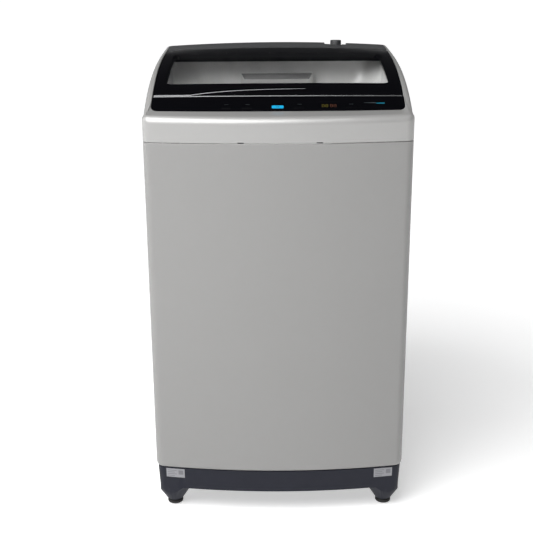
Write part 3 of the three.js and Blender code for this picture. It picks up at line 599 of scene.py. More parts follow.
def make_labels():
    """Two plain rating labels with generic bars in place of print."""
    for side, x0 in (("left", -0.2385), ("right", 0.1995)):
        parts = [on_plinth("label", x0, x0 + 0.039, 0.0780, 0.0985, 0.0004, LABEL)]
        left, row_pitch, bar_height = x0 + 0.003, 0.0042, 0.0016
        for row in range(4):
            width = 0.019 - 0.004 * (row % 2)
            z = 0.0950 - row_pitch * row
            parts.append(on_plinth("bar", left, left + width, z - bar_height, z, 0.0005, LABEL_INK))
        parts.append(on_plinth("patch", x0 + 0.026, x0 + 0.036, 0.0850, 0.0950, 0.0005, LABEL_INK))
        assembled("label_" + side, parts, "cabinet", "slate_plastic")


REAR_SHEET = 0.2684  # y of the rear panel's outer face
RELIEF_HALF = 0.205  # half width of its pressed fields
BEAD_X = 0.075  # the upright beads in them are this far from the middle


def rear_relief(x, z):
    """How far the rear panel is pressed in at x, z."""
    def step(value, edge, width=0.012):
        t = min(max((value - edge) / width, 0), 1)
        return t * t * (3 - 2 * t)

    depth = 0.0
    for low, high in ((0.150, 0.420), (0.460, 0.690)):
        across = step(RELIEF_HALF - abs(x), 0)
        up = step(z - low, 0) * step(high - z, 0)
        depth = max(depth, across * up)
    bead = math.exp(-((abs(x) - BEAD_X) / 0.008) ** 2) * depth
    return 0.004 * depth - 0.002 * bead


def make_rear_panel():
    columns, rows, thickness = 96, 130, 0.0009
    low, high, half = PLINTH_TOP + GAP, SEAM - GAP, 0.249
    across = [-half + 2 * half * i / columns for i in range(columns + 1)]
    rings = []
    for j in range(rows + 1):
        z = low + (high - low) * j / rows
        back = [(x, REAR_SHEET - rear_relief(x, z), z) for x in across]
        rings.append(back + [(x, y - thickness, z) for x, y, z in reversed(back)])
    panel = loft("rear_sheet", rings, ZINC)
    cord_hole = turned("hole", [(0, 250), (9.65, 250), (9.65, 280), (0, 280)], ZINC)
    boolean(panel, [laid_along_y(cord_hole, -0.215, 0.735)])
    dressed(smooth(panel), "cabinet", "galvanised_steel", "rear_panel")


def make_screw(x, z):
    """A pan head screw with a cross recess, facing the rear."""
    head = [(0, 0.0), (3.6, 0.0), (3.8, 0.3), (3.4, 0.9), (2.2, 1.25), (0, 1.35)]
    screw = turned("screw", head, PLATED, 0, 0, 24)
    long, thin = 0.0018, 0.0004
    arms = [block("arm", -a, a, -b, b, 0.0007, 0.003, PLATED) for a, b in ((long, thin), (thin, long))]
    boolean(screw, arms)
    screw.data.transform(Matrix.Translation((x, REAR_SHEET, z)) @ Matrix.Rotation(-math.pi / 2, 4, "X"))
    return smooth(screw, False)


def make_rear_screws():
    left, top = -0.215, 0.7805
    places = [(x, z) for x in (left, -0.11, 0.0, 0.11, -left) for z in (0.1135, top)]
    places += [(side * 0.2285, z) for side in (-1, 1) for z in (0.30, 0.50)]
    places.remove((left, top))  # the cord gland is there
    screws = [make_screw(x, z) for x, z in places]
    assembled("rear_screws", screws, "cabinet", "plated_steel")


# ---- Top cover ----

Y_AND_Z_SWAPPED = Matrix(((1, 0, 0, 0), (0, 0, 1, 0), (0, 1, 0, 0), (0, 0, 0, 1)))
AXES_TURNED_ON = Matrix(((0, 0, 1, 0), (1, 0, 0, 0), (0, 1, 0, 0), (0, 0, 0, 1)))  # x to y, y to z, z to x


def edge_radius(y, normal):
    side = 0.009 - 0.0034 * rearness(y)
    end = 0.016 if normal.y < 0 else 0.002
    return side + (end - side) * normal.y**2


def make_top_cover():
    """The silver frame: outer wall, rounded edge, rim and the ledge inside it."""
    outer = outline(BODY)
    away = normals(outer)
    rings = []
    for inset, z in ((0.001, SEAM + GAP), (0.0002, SEAM + 0.0008), (0, SEAM + 0.0018)):
        rings.append([(x - n.x * inset, y - n.y * inset, z) for (x, y), n in zip(outer, away)])
    edge_steps = 10
    for step in range(edge_steps + 1):
        angle = math.pi / 2 * step / edge_steps
        ring = []
        for (x, y), n in zip(outer, away):
            radius = edge_radius(y, n)
            crest = top_height(x - n.x * radius, y - n.y * radius)
            inset = radius * (1 - math.cos(angle))
            ring.append((x - n.x * inset, y - n.y * inset, crest - radius * (1 - math.sin(angle))))
        rings.append(ring)
    inner = shrunk(BODY, 0.003)
    for plan, drop in ((shrunk(OPENING, -0.0010), 0), (shrunk(OPENING, -0.0003), 0.0003), (OPENING, 0.0012),
                       (OPENING, 0.010), (LEDGE, 0.010), (LEDGE, 0.0125), (inner, 0.022)):
        rings.append(on_top(outline(plan), drop))
    rings.append(raised(outline(inner), SEAM + GAP))
    cover = loft("top_frame", rings, COVER_SILVER, closed=True)
    slots = [block("slot", x - 0.006, x + 0.006, -0.280, -0.240, SEAM - 0.001, SEAM + 0.0026, BLACK)
             for x in SEAM_SLOTS]
    plugs = [block("plug", x - 0.0059, x + 0.0059, -0.2674, -0.255, SEAM + 0.0003, SEAM + 0.0040, RUBBER)
             for x in SEAM_SLOTS]
    notch = block("notch", 0.113, 0.164, 0.240, 0.280, 0.915, 0.960, BLACK)
    boolean(cover, [*slots, notch])
    softened(cover, 0.0003, 1, 50)
    assembled("top_cover_piece", [cover, *plugs], "cabinet", "silver_plastic", "top_cover")


def liner_top(x, y):
    under_trough = TROUGH_FLOOR - 0.001 + 0.030 * min(max((0.150 - y) / 0.040, 0), 1)
    return min(top_height(x, y) - 0.014, under_trough)


def make_well_liner():
    """The grey funnel between the lid opening and the tub."""
    wall, lip = 0.0024, 0.0008
    middle, funnel = 0.838, 0.039  # the height where the sides turn inwards, and how far they then fall
    foot = SEAM

    def ring(plan, z=0.0, share=0.0, drop=0.0):
        """A ring a drop below the liner's top, or a share of the way down from there to z."""
        points = outline(plan, 30, 30, 12, 14)
        return [(x, y, (liner_top(x, y) - drop) * (1 - share) + z * share) for x, y in points]

    rings = [ring(WELL_FLANGE), ring(shrunk(WELL_TOP, -lip)), ring(WELL_TOP, drop=lip)]
    steps = 7
    for i in range(1, steps + 1):
        rings.append(ring(between(WELL_TOP, WELL_MIDDLE, i / steps), middle, i / steps))
    for i in range(1, steps + 1):
        t = i / steps
        rings.append(ring(between(WELL_MIDDLE, WELL_FOOT, t**1.5), middle - funnel * t, 1))
    rings.append(ring(WELL_FOOT, foot, 1))
    for plan, z in ((WELL_FOOT, foot), (WELL_FOOT, 0.800), (WELL_MIDDLE, 0.836)):
        rings.append(ring(shrunk(plan, -wall), z, 1))
    rings += [ring(shrunk(WELL_TOP, -wall / 2), drop=wall + 0.001), ring(WELL_FLANGE, drop=wall)]
    liner = loft("well_funnel", rings, LINER_GREY, closed=True)
    door = prism("door", rounded(-0.0845, 0.0845, 0.8335, 0.8825, 0.004), 0.150, 0.205, BLACK)
    door.data.transform(Y_AND_Z_SWAPPED)
    boolean(liner, [door])
    dressed(softened(liner, 0.0005, 1, 55), "cabinet", "grey_plastic", "well_liner")


# ---- Control panel ----


def on_panel(x, y):
    """Where a flat thing made at the origin goes on the sloping panel."""
    slope = Matrix.Rotation(math.atan(top_slope(y)), 4, "X")
    return Matrix.Translation((x, y, top_height(x, y))) @ slope


KEYS = {"process_key": (-0.100, 0.022), "power_key": (-0.059, 0.022), "start_key": (-0.0005, 0.023),
        "program_key": (0.042, 0.022), "level_key": (0.142, 0.022)}  # x and width
KEY_DEPTH = 0.009


def key_outline(width, gap=0.0):
    x, y = width / 2 + gap, KEY_DEPTH / 2 + gap
    return rounded(-x, x, -y, y, 0.0028 if gap else 0.0025)


def make_key(node, x, width):
    """A key with two short bars in place of its print."""
    blue = node == "start_key"
    key = prism(node + "_cap", key_outline(width), -0.007, 0.0003, KEY_BLUE if blue else BLACK)
    parts = [softened(key, 0.0005, 3)]
    for x0, x1 in ((-0.0022, -0.0010), (0.0010, 0.0022)):
        mark = prism("mark", rounded(x0, x1, -0.0018, 0.0018, 0.0003, 2), 0.00025, 0.00036, MARK_GREY)
        if not blue:
            mark.data.transform(Matrix.Rotation(math.pi / 2, 4, "Z") @ Matrix.Scale(0.7, 4))
        parts.append(mark)
    whole = joined(node + "_piece", parts)
    whole.data.transform(on_panel(x, KEY_Y))
    dressed(whole, node.replace("_key", "_button"), "blue_key" if blue else "black_gloss", node)


DISPLAY = (0.079, 0.118, -0.202, -0.182)
# Each bar of a figure eight: its place across and up, and whether it stands.
SEGMENTS = ((0, 1, 0), (1, 0.5, 1), (1, -0.5, 1), (0, -1, 0), (-1, -0.5, 1), (-1, 0.5, 1), (0, 0, 0))


def make_digit(x, y, height, material):
    """A figure eight of seven bars."""
    bars = []
    half, thin = height * 0.20, height * 0.055
    for side, up, standing in SEGMENTS:
        a, b = (thin, half) if standing else (half, thin)
        cx, cy = side * height * 0.26, up * height * 0.46
        bars.append(block("bar", cx - a, cx + a, cy - b, cy + b, -0.0001, 0.00005, material))
    digit = joined("digit", bars)
    digit.data.transform(on_panel(x, y))
    return digit


def make_display():
    x0, x1, y0, y1 = DISPLAY
    window = sheet("display_glass", rounded(x0, x1, y0, y1, 0.0015), -0.0024, -0.0001, BLACK)
    parts = [softened(window, 0.0002, 1)]
    middle = (y0 + y1) / 2 - 0.001
    for i, x in enumerate((0.0875, 0.0945, 0.1035, 0.1105)):
        parts.append(make_digit(x, middle, 0.0085, DIGIT_AMBER if i < 2 else DIGIT_RED))
    assembled("display_piece", parts, "cabinet", "black_gloss", "display_window")


def print_bar(x0, x1, y, height, material, taper=1.0):
    """A flat printed bar on the panel, narrower to the left when taper is under 1."""
    half, up = (x1 - x0) / 2, height / 2
    points = [(-half, -up * taper), (half, -up), (half, up), (-half, up * taper)]
    bar = prism("print", points, -0.0001, 0.00008, material)
    bar.data.transform(on_panel((x0 + x1) / 2, y))
    return bar


def make_panel_print():
    """Generic marks: a tapered bar in two colours, and a tick over each key."""
    marks = [print_bar(0.167, 0.190, -0.1850, 0.0032, MARK_GREY, 0.2),
             print_bar(0.1905, 0.207, -0.1862, 0.0042, MARK_TEAL, 0.7)]
    for node, (x, _) in KEYS.items():
        if node != "start_key":
            marks.append(print_bar(x - 0.004, x + 0.004, -0.1885, 0.0006, MARK_GREY))
    assembled("panel_print", marks, "cabinet", "black_gloss")


def make_control_panel():
    fascia = sheet("fascia", outline(PANEL, 60, 6, 20, 8), -0.0094, 0, BLACK, 0.004)
    x0, x1, y0, y1 = DISPLAY
    recess = rounded(x0 - GAP, x1 + GAP, y0 - GAP, y1 + GAP, 0.0018)
    cutters = [sheet("recess", recess, -0.0028, 0.005, BLACK)]
    for x, width in KEYS.values():
        hole = prism("hole", key_outline(width, GAP), -0.03, 0.02, BLACK)
        hole.data.transform(on_panel(x, KEY_Y))
        cutters.append(hole)
    boolean(fascia, cutters)
    dressed(softened(fascia, 0.0004, 2), "cabinet", "black_gloss", "control_panel")
    for node, (x, width) in KEYS.items():
        make_key(node, x, width)
    make_display()
    make_panel_print()


# ---- Lid, deck and hinge ----


def make_lid_frame():
    """The black lid with its window opening, stiffening skirt and hinge lugs."""
    frame_body = sheet("lid_moulding", outline(LID, 30, 30, 16, 8), -0.0096, 0, BLACK)
    opening = prism("opening", outline(WINDOW, 20, 12, 12, 8), 0.80, 0.98, BLACK)
    rebate = sheet("rebate", outline(shrunk(WINDOW, -0.00455), 20, 12, 12, 8), -0.0046, 0.005, BLACK)
    rooms = [block("room", side * 0.2368, side * 0.262, 0.1615, 0.20, 0.85, 0.98, BLACK) for side in (-1, 1)]
    boolean(frame_body, [opening, rebate, *rooms])
    softened(frame_body, 0.0011, 3)
    skirt_plan = shrunk(LID, 0.0135)
    rings = []
    for inset, drop in ((0, 0.0090), (0, 0.0135), (0.0018, 0.0135), (0.0018, 0.0090)):
        rings.append(on_top(outline(shrunk(skirt_plan, inset)._replace(rear=0.150), 24, 24, 8, 6), drop))
    skirt = softened(loft("skirt", rings, BLACK, closed=True), 0.0003, 1)
    parts = [frame_body, skirt]
    for side in (-1, 1):
        profile = [(3.9, -4.2), (6.4, -4.2), (7, -3.6), (7, 3.6), (6.4, 4.2), (3.9, 4.2)]
        lug = laid_along_x(turned("lug", profile, BLACK, 0, 0, 40), *HINGE)
        lug.data.transform(Matrix.Translation((side * 0.2323, 0, 0)))
        above = sheet("above", rounded(-0.25, 0.25, 0.15, 0.20, 0.001, 1), -0.001, 0.03, BLACK)
        parts.append(boolean(lug, [above]))
    assembled("lid_piece", parts, "lid", "black_gloss", "lid_frame")


def make_lid_glass():
    glass = sheet("lid_window", outline(shrunk(WINDOW, -0.0042), 20, 12, 12, 8), -0.0042, -0.0003, GLASS)
    dressed(softened(glass, 0.0005, 2), "lid", "tinted_glass", "lid_glass")


ACCENT_LEAVES = -0.172  # x where the accent leaves the lid's edge
ACCENT_RISE = 0.0225


def accent_y(x):
    """The accent's middle line: level at the left, then curving away from the lid's edge."""
    past = max(x - ACCENT_LEAVES, 0)
    return ACCENT_RISE * (1 - math.exp(-past / 0.085)) - 0.1580


def make_lid_trim():
    """The bright strip along the lid's front edge and the accent that leaves it at the left."""
    y0, y1 = LID_FRONT - 0.003, LID_FRONT - GAP
    half = 0.2443
    strip = sheet("strip", [(-half, y0), (half, y0), (half, y1), (-half, y1)], -0.008, 0.0, TRIM, 0.001)
    softened(strip, 0.0005, 2)
    steps = 90
    start, end = -0.2440, 0.055
    sunk, proud = -0.0004, 0.00022
    rings = []
    for i in range(steps + 1):
        x = start + (end - start) * i / steps
        away = max(x - ACCENT_LEAVES, 0) / (end - ACCENT_LEAVES)
        half = 0.0016 * (1 - away) ** 0.8 + 0.00012
        ring = []
        for y, lift in ((-half, sunk), (half, sunk), (half * 0.6, proud), (-half * 0.6, proud)):
            at = accent_y(x) + y
            ring.append((x, at, top_height(x, at) + lift))
        rings.append(ring)
    accent = smooth(loft("accent", rings, ACCENT))
    assembled("lid_strip", [strip, accent], "lid", "bright_trim", "lid_trim")


def mirrored(obj):
    obj.data.transform(Matrix.Scale(-1, 4, (1, 0, 0)))
    obj.data.flip_normals()


def make_deck_plate():
    """The dark deck behind the lid, hollow below, with a hose notch and the inlet's hole."""
    plate = sheet("deck", outline(DECK, 30, 8, 20, 8), -0.0088, 0, DECK_GREY, 0.006)
    room = rounded(-TROUGH_HALF - 0.0016, TROUGH_HALF + 0.0016, TROUGH_REAR, 0.2623, 0.008)
    hollow = sheet("hollow", room, -0.012, -0.0030, DECK_GREY)
    notch = prism("notch", rounded(0.113, 0.164, 0.243, 0.290, 0.003), 0.85, 0.96, DECK_GREY)
    inlet_hole = prism("inlet_hole", circle(*INLET, 0.0150, 48), 0.85, 0.96, DECK_GREY)
    for cutter in (hollow, notch, inlet_hole):
        boolean(plate, [cutter])
    dressed(softened(plate, 0.0008, 2), "cabinet", "dark_plastic", "rear_deck")


def make_trough():
    """The trough that the lid's rear edge turns in, with a cheek, a knuckle and a web at each end."""
    across = (-TROUGH_HALF, TROUGH_HALF)
    parts = [block("wall", *across, DECK_FRONT, TROUGH_REAR, TROUGH_FLOOR, 0.9265, BLACK),
             block("floor", *across, 0.158, TROUGH_REAR, TROUGH_FLOOR, TROUGH_FLOOR + 0.003, BLACK)]
    web_rear = DECK_FRONT + 0.001
    for side in (-1, 1):
        cheek_x = sorted((side * 0.2374, side * TROUGH_HALF))
        cheek = block("cheek", *cheek_x, 0.164, web_rear, TROUGH_FLOOR, 0.924, BLACK)
        pin = turned("pin", [(0, 200), (3.85, 200), (3.85, 241), (0, 241)], BLACK)
        profile = [(0, 239), (9.3, 239), (9.6, 239.3), (9.6, 250), (9.2, 250.4), (0, 250.4)]
        knuckle = turned("knuckle", profile, BLACK)
        for made in (pin, knuckle):
            laid_along_x(made, *HINGE)
            if side < 0:
                mirrored(made)
        web = block("web", *sorted((side * 0.239, side * 0.2504)), HINGE[0], web_rear, 0.9175, 0.9266, BLACK)
        under = sheet("under", rounded(-0.26, 0.26, 0.15, 0.20, 0.001, 1), -0.03, -0.0092, BLACK)
        parts += [boolean(cheek, [pin]), boolean(knuckle, [under]), web]
    dressed(softened(joined("trough", parts), 0.0006, 2), "cabinet", "black_gloss")


# ---- Detergent drawer and water inlet ----

def make_drawer():
    """The drawer: two bays, a grip from below, and a bevel along the top of its face painted dark grey as the
    shadow of the gap above it.
    """
    front, back, half, low, top, bevel, wall = 0.150, 0.256, 0.082, 0.836, 0.880, 0.009, 0.0022
    face = [(-half, front + bevel), (bevel - half, front), (half - bevel, front), (half, front + bevel)]
    tray = prism("drawer", face + [(half, back), (-half, back)], low, top, DRAWER_SILVER)
    slope = [(0.140, 0.862), (0.1502, 0.868), (0.1585, 0.8815), (0.140, 0.8815)]
    wedge = prism("wedge", slope, -0.09, 0.09, DRAWER_SILVER)
    wedge.data.transform(AXES_TURNED_ON)
    bays = []
    for x0, x1 in ((wall - half, -0.0012), (0.0012, half - wall)):
        plan = rounded(x0, x1, 0.186, back - wall, 0.006)
        bays.append(prism("bay", plan, low + wall, top + 0.005, DRAWER_SILVER))
    grip = prism("grip", rounded(-0.060, 0.060, 0.158, 0.178, 0.006), low - 0.005, low + 0.026, DRAWER_SILVER)
    boolean(tray, [wedge, *bays, grip])
    softened(tray, 0.0012, 3)
    # Painted shade: the top bevel's faces take a dark grey that stands for the shadow in the gap above the
    # drawer.
    tray.data.materials.append(DRAWER_PAINTED_SHADE)
    for face in tray.data.polygons:
        if face.center.z > 0.8625 and face.center.y < 0.162:
            face.material_index = 1
    dressed(tray, "drawer", "silver_plastic", "detergent_drawer")


def make_inlet_valve():
    """The valve body with its coil, and a spigot with a rolled thread and a strainer."""
    x, y = INLET
    body = block("valve", x - 0.012, x + 0.012, y - 0.013, y + 0.013, 0.884, 0.924, DARK_PLASTIC)
    softened(body, 0.0015, 3)
    profile = [(9, 905), (9, 947.4), (9.6, 948), (12.2, 948), (12.6, 947.4)]
    root, crest, turns, pitch = 12.5, 13.2, 8, 1.8
    for i in range(turns):
        height = 946.6 - i * pitch
        profile += [(root, height), (crest, height - 0.6), (crest, height - 0.9), (root, height - 1.5)]
    profile += [(root, 928), (crest, 926), (crest, 905)]
    spigot = turned("spigot", profile, DARK_PLASTIC, x, y, 48)
    coil = turned("coil", [(0, 200), (10, 200), (11, 201), (11, 232), (0, 232)], COPPER)
    laid_along_y(coil, x, 0.902)
    strainer = turned("strainer", [(0, 936), (8.9, 936), (8.9, 937), (0, 938)], ZINC, x, y)
    parts = [body, smooth(spigot), smooth(coil), smooth(strainer)]
    assembled("inlet_piece", parts, "cabinet", "dark_plastic", "inlet_valve")


# ---- Drum and pulsator ----


def make_drum():
    """A perforated stainless wall with pressed vertical beads."""
    columns, rows = 84, 22
    low, high, radius = 0.297, 0.700, 0.2154
    rim = 0.008  # plain at the top and the bottom
    hole = 0.30  # radius, of a cell's width
    beads = 12
    vertices, faces = [], []

    def spot(u, v):
        angle = 2 * math.pi * u / columns
        bead = max(math.cos(beads * angle), 0) ** 6
        fade = min(min(v, rows - v) / 1.5, 1)
        r = radius - 0.0006 - 0.0022 * bead * fade
        z = low + rim + (high - low - 2 * rim) * v / rows
        return (r * math.cos(angle), TUB_Y + r * math.sin(angle), z)

    def cell(i, j):
        first = len(vertices)
        u, v = i + 0.5, j + 0.5
        around = [(-.5, -.5), (0, -.5), (.5, -.5), (.5, 0), (.5, .5), (0, .5), (-.5, .5), (-.5, 0)]
        vertices.extend(spot(u + a, v + b) for a, b in around)
        open_here = (i + 2 * j) % 4 != 3
        if not open_here:
            faces.append(tuple(range(first, first + 8)))
            return
        for k in range(8):
            angle = math.radians(-135 + 45 * k)
            vertices.append(spot(u + hole * math.cos(angle), v + hole * 0.82 * math.sin(angle)))
        for k in range(8):
            m = (k + 1) % 8
            faces.append((first + k, first + m, first + 8 + m, first + 8 + k))

    for i in range(columns):
        for j in range(rows):
            cell(i, j)
    for z0, v in ((low, 0), (high, rows)):
        for i in range(2 * columns):
            first = len(vertices)
            a, b = spot(i / 2, v), spot((i + 1) / 2, v)
            vertices.extend((a, b, (b[0], b[1], z0), (a[0], a[1], z0)))
            faces.append((first, first + 1, first + 2, first + 3))
    wall = piece("drum_wall", vertices, faces, STAINLESS)
    thick = wall.modifiers.new("thick", "SOLIDIFY")
    thick.thickness = 0.0006
    thick.offset = 0
    dressed(smooth(applied(wall)), "drum", "stainless_steel", "wash_drum")


def make_pulsator():
    """A dished disc with six swept fins, finer than the CAD's but inside its outline."""
    around, rings_out, fins = 144, 34, 6
    bore, outer, highest, underside = 0.0085, 0.1685, 0.3285, 0.2945

    def height(r, angle):
        dish = 0.304 + 0.020 * math.exp(-((r / 0.052) ** 2))
        swept = max(math.cos(fins * (angle + 1.2 * (r / outer) ** 2)), 0) ** 3
        along = min(max((r - 0.022) / 0.138, 0), 1)
        return min(dish + 0.019 * swept * math.sin(math.pi * along) ** 0.7, highest)

    rings = []
    for j in range(1, rings_out + 1):
        r = bore + (outer - bore) * j / rings_out
        points = circle(0, TUB_Y, r, around)
        rings.append([(x, y, height(r, 2 * math.pi * i / around)) for i, (x, y) in enumerate(points)])
    for r, z in ((0.1697, 0.3025), (0.170, 0.301), (0.170, 0.298), (0.164, underside), (bore, underside)):
        rings.append(raised(circle(0, TUB_Y, r, around), z))
    disc = smooth(loft("pulsator_disc", rings, LINER_GREY, closed=True))
    dressed(disc, "pulsator", "grey_plastic", "pulsator")
    profile = [(0, 331.4), (29, 331.4), (30, 332.2), (29.4, 335), (27, 338.5), (18, 342.4), (0, 344)]
    cap = turned("pulsator_button", profile, DRAWER_SILVER, 0, TUB_Y)
    dressed(softened(cap, 0.0005, 2), "pulsator", "grey_plastic", "pulsator_cap")


def make_balance_ring():
    profile = [(190, 700.4), (187.6, 702), (186.5, 705), (186.5, 743), (187.4, 747.5), (190, 750.8)]
    profile += [(194, 752.5), (203, 752.5), (203.5, 751.6), (205.5, 751.6), (206, 752.5)]
    profile += [(213, 752.5), (217, 750.5), (219, 746), (219, 700.4)]
    ring = turned("balance_piece", profile, WHITE_PLASTIC, 0, TUB_Y, 120)
    dressed(softened(ring, 0.0006, 2), "drum", "tub_plastic", "balance_ring")


def make_lint_filter(side):
    """A filter frame with a row of slots."""
    plan = rounded(*sorted((side * 0.192, side * 0.209)), TUB_Y - 0.044, TUB_Y + 0.044, 0.006)
    case = prism("filter", plan, 0.380, 0.610, LINER_GREY)
    slots = []
    across = sorted((side * 0.189, side * 0.196))
    for i in range(14):
        z = 0.398 + 0.0145 * i
        slots.append(block("slot", *across, TUB_Y - 0.034, TUB_Y + 0.034, z, z + 0.006, LINER_GREY))
    boolean(case, slots)
    name = "left" if side < 0 else "right"
    dressed(softened(case, 0.0012, 2), "drum", "grey_plastic", "lint_filter_" + name)


# Each round piece: its body, look, material and profile, as [radius, height] in millimetres.
TURNED = {
    "drum_base": (
        "drum", "grey_plastic", LINER_GREY,
        [(9, 284.4), (204, 284.4), (211, 288), (214, 296), (214, 337), (213, 338), (211, 338), (196, 318),
         (182, 298), (176, 293), (170, 292), (9, 292)]),
    "drum_hub": (
        "drum", "cast_aluminium", CAST,
        [(13.2, 266), (30, 266), (31, 271), (36, 274), (118, 277.6), (120, 279), (120, 284), (13.2, 284)]),
    "tub_cover": (
        "wash_unit", "tub_plastic", TUB_PLASTIC,
        [(194, 766.4), (194, 771), (195, 772), (204, 772), (205, 770.8), (207, 770.8), (208, 772),
         (238, 772), (241.5, 769.5), (241.5, 738), (238.5, 738), (238.5, 766.4)]),
    "drive_pulley": (
        "input_pulley", "cast_aluminium", CAST,
        [(0, 110), (13, 110), (14, 111), (14, 113), (20, 117), (46, 117), (50, 113), (61, 113), (62, 114),
         (62, 115), (56.5, 120.5), (56.5, 121.5), (62, 127), (62, 128.4), (61, 129), (50, 129), (46, 124),
         (20, 124), (14, 129), (14, 140), (8, 140), (8, 188), (0, 188)]),
    "gearcase": (
        "wash_unit", "cast_aluminium", CAST,
        [(13.2, 150), (24, 150), (26, 151), (30, 164), (46, 167), (48, 169), (48, 196), (46.5, 197),
         (46.5, 200), (48, 201), (48, 232), (57, 236), (57, 245.6), (32, 245.6), (32, 261), (31, 262),
         (13.2, 262)]),
    "drive_motor": (
        "wash_unit", "motor_paint", MOTOR_GREY,
        [(6.8, 150), (29, 150), (31, 151), (56, 155), (61, 159), (62, 163), (62, 178), (61, 179), (61, 181),
         (62, 182), (62, 226), (60, 231), (56, 233.5), (34, 238), (34, 245.6), (6.8, 245.6)]),
    "pressure_sensor": (
        "cabinet", "white_plastic", WHITE_PLASTIC,
        [(0, 874), (2.6, 874), (3, 875), (3, 883), (6, 884), (23, 884), (24, 885), (24, 897), (22, 898.6),
         (10, 902), (0, 902)]),
}
TURNED_AT = {"drive_motor": (-0.150, TUB_Y), "pressure_sensor": (-0.150, 0.228)}


def make_turned_pieces():
    """Finer copies of the round CAD pieces."""
    for node, (body, slot, material, profile) in TURNED.items():
        x, y = TURNED_AT.get(node, (0, TUB_Y))
        obj = turned(node + "_fine", profile, material, x, y, 96)
        dressed(softened(obj, 0.0004, 1), body, slot, node)
    make_lint_filter(-1)
    make_lint_filter(1)


def make_tub():
    """The tub with its ribs and the ears that the rods hold."""
    profile = [(34, 252), (60, 252), (60, 249.3), (70, 249.3), (70, 252), (222, 252), (232, 255), (238, 264)]
    profile += [(238, 765.6), (235.4, 765.6), (235.4, 266), (230, 259), (222, 256), (34, 256)]
    vessel = turned("tub", profile, TUB_PLASTIC, 0, TUB_Y, 120)
    softened(vessel, 0.0005, 1)
    parts = [vessel]
    for z in (0.30, 0.45, 0.60, 0.715):
        band = [(237.6, z * 1000), (239.6, z * 1000), (239.6, z * 1000 + 4), (237.6, z * 1000 + 4)]
        parts.append(turned("band", band, TUB_PLASTIC, 0, TUB_Y, 120))
    for x, y in ROD_PLACES:
        angle = math.atan2(y - TUB_Y, x)
        reach = math.hypot(x, y - TUB_Y)
        arm = prism("ear", rounded(0.2362, reach + 0.020, -0.022, 0.022, 0.012), 0.330, 0.339, TUB_PLASTIC)
        arm.data.transform(Matrix.Translation((0, TUB_Y, 0)) @ Matrix.Rotation(angle, 4, "Z"))
        boolean(arm, [prism("hole", circle(x, y, ROD_HOLE), 0.32, 0.35, TUB_PLASTIC)])
        parts.append(softened(arm, 0.0008, 2))
    assembled("tub_piece", parts, "wash_unit", "tub_plastic", "outer_tub")


# ---- The CAD pieces that stay as they are ----

KEPT = {
    "cord_gland": RUBBER, "drain_outlet": DARK_PLASTIC, "control_board": RESIN,
    "hinge_pin_left": PLATED, "hinge_pin_right": PLATED, "dispenser_housing": LINER_GREY,
    "water_duct": WHITE_PLASTIC, "mount_plate": ZINC, "capacitor": CAST,
    "drain_valve": WHITE_PLASTIC, "drive_belt": RUBBER, "drum_shaft": PLATED,
    "pulsator_shaft": PLATED, "motor_rotor": PLATED,
}


def finish_kept_pieces():
    for corner in ("front_left", "rear_left", "front_right", "rear_right"):
        KEPT["hanger_rod_" + corner] = PLATED
        KEPT["damper_cup_" + corner] = DARK_PLASTIC
    for node, material in KEPT.items():
        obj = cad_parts[node]
        obj.data.materials.clear()
        obj.data.materials.append(material)


# ---- Camera, floor and light ----

CAMERA_PLACE = Vector((-0.0125, -2.043, 1.0887))
CAMERA_PITCH, CAMERA_YAW, CAMERA_ROLL = (math.radians(a) for a in (16.90, -0.364, -0.380))
FOCAL_IN_FRAMES = 950.35 / 533  # focal length over the width of the frame


def make_camera():
    camera = bpy.data.cameras.new("camera")
    camera.sensor_width = 36
    camera.lens = 36 * FOCAL_IN_FRAMES
    obj = linked(bpy.data.objects.new("camera", camera))
    turn = Matrix.Translation(CAMERA_PLACE)
    for angle, axis in ((-CAMERA_YAW, "Z"), (math.pi / 2 - CAMERA_PITCH, "X"), (CAMERA_ROLL, "Z")):
        turn = turn @ Matrix.Rotation(angle, 4, axis)
    obj.matrix_world = turn
    bpy.context.scene.camera = obj


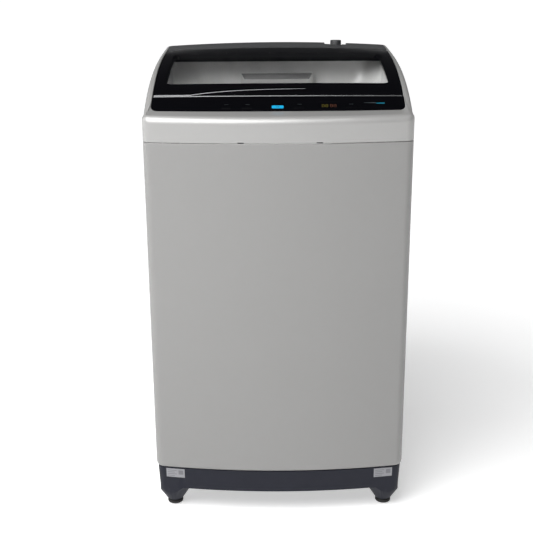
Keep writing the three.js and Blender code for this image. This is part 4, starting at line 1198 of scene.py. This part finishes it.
def make_floor():
    """A seamless white floor. It glows more with distance, so it stays white far from the lamps."""
    material = shader("floor_white", (0.80, 0.80, 0.80), 0.9, specular=0.1)
    links = material.node_tree.links
    bsdf = surface(material)
    bsdf.inputs["Emission Color"].default_value = (1, 1, 1, 1)
    place = add_node(material, "ShaderNodeTexCoord")
    length = add_node(material, "ShaderNodeVectorMath")
    length.operation = "LENGTH"
    fade = add_node(material, "ShaderNodeMapRange", From_Min=0.8, From_Max=2.8, To_Min=0.50, To_Max=1.0)
    links.new(place.outputs["Object"], length.inputs[0])
    links.new(length.outputs["Value"], fade.inputs["Value"])
    links.new(fade.outputs["Result"], bsdf.inputs["Emission Strength"])
    reach = 70
    corners = [(-reach, -reach), (reach, -reach), (reach, reach), (-reach, reach)]
    piece("floor", raised(corners, 0), [(0, 1, 2, 3)], material)


def soft_light(name, place, aim, size, power):
    light = bpy.data.lights.new(name, "AREA")
    light.shape = "RECTANGLE"
    light.size, light.size_y = size
    light.energy = power
    obj = linked(bpy.data.objects.new(name, light))
    obj.location = place
    obj.rotation_euler = (Vector(aim) - Vector(place)).to_track_quat("-Z", "Y").to_euler()


def make_world():
    """White up to the horizon and dark above it, so that the black lid has nothing bright to mirror."""
    world = bpy.data.worlds.new("studio")
    bpy.context.scene.world = world
    world.use_nodes = True
    tree = world.node_tree
    place = tree.nodes.new("ShaderNodeTexCoord")
    split = tree.nodes.new("ShaderNodeSeparateXYZ")
    ramp = tree.nodes.new("ShaderNodeValToRGB")
    set_ramp(ramp, (0.10, (1.0, 1.0, 1.0)), (0.22, (0.03, 0.03, 0.032)))
    tree.links.new(place.outputs["Generated"], split.inputs["Vector"])
    tree.links.new(split.outputs["Z"], ramp.inputs["Fac"])
    tree.links.new(ramp.outputs["Color"], tree.nodes["Background"].inputs["Color"])


def make_lights():
    soft_light("overhead", (-0.95, -1.30, 2.75), (0, -0.1, 0.85), (2.6, 1.9), 120)
    soft_light("key", (-1.9, -2.4, 2.4), (0, 0, 0.9), (1.2, 1.2), 26)
    soft_light("side_left", (-2.8, 0.2, 1.4), (0, 0, 0.6), (1.2, 1.8), 15)
    soft_light("side_right", (3.0, 1.8, 1.8), (0, 0, 0.6), (1.2, 1.6), 5)
    bpy.context.scene.view_settings.view_transform = "Standard"


# ---- Build ----

make_camera()
make_floor()
make_world()
make_lights()
make_cabinet()
make_base()
for (foot, foot_body), foot_place in zip(FEET.items(), FOOT_PLACES):
    make_foot(foot, foot_body, *foot_place)
make_labels()
make_rear_panel()
make_rear_screws()
make_top_cover()
make_well_liner()
make_control_panel()
make_lid_frame()
make_lid_glass()
make_lid_trim()
make_deck_plate()
make_trough()
make_drawer()
make_inlet_valve()
make_drum()
make_pulsator()
make_balance_ring()
make_turned_pieces()
make_tub()
finish_kept_pieces()
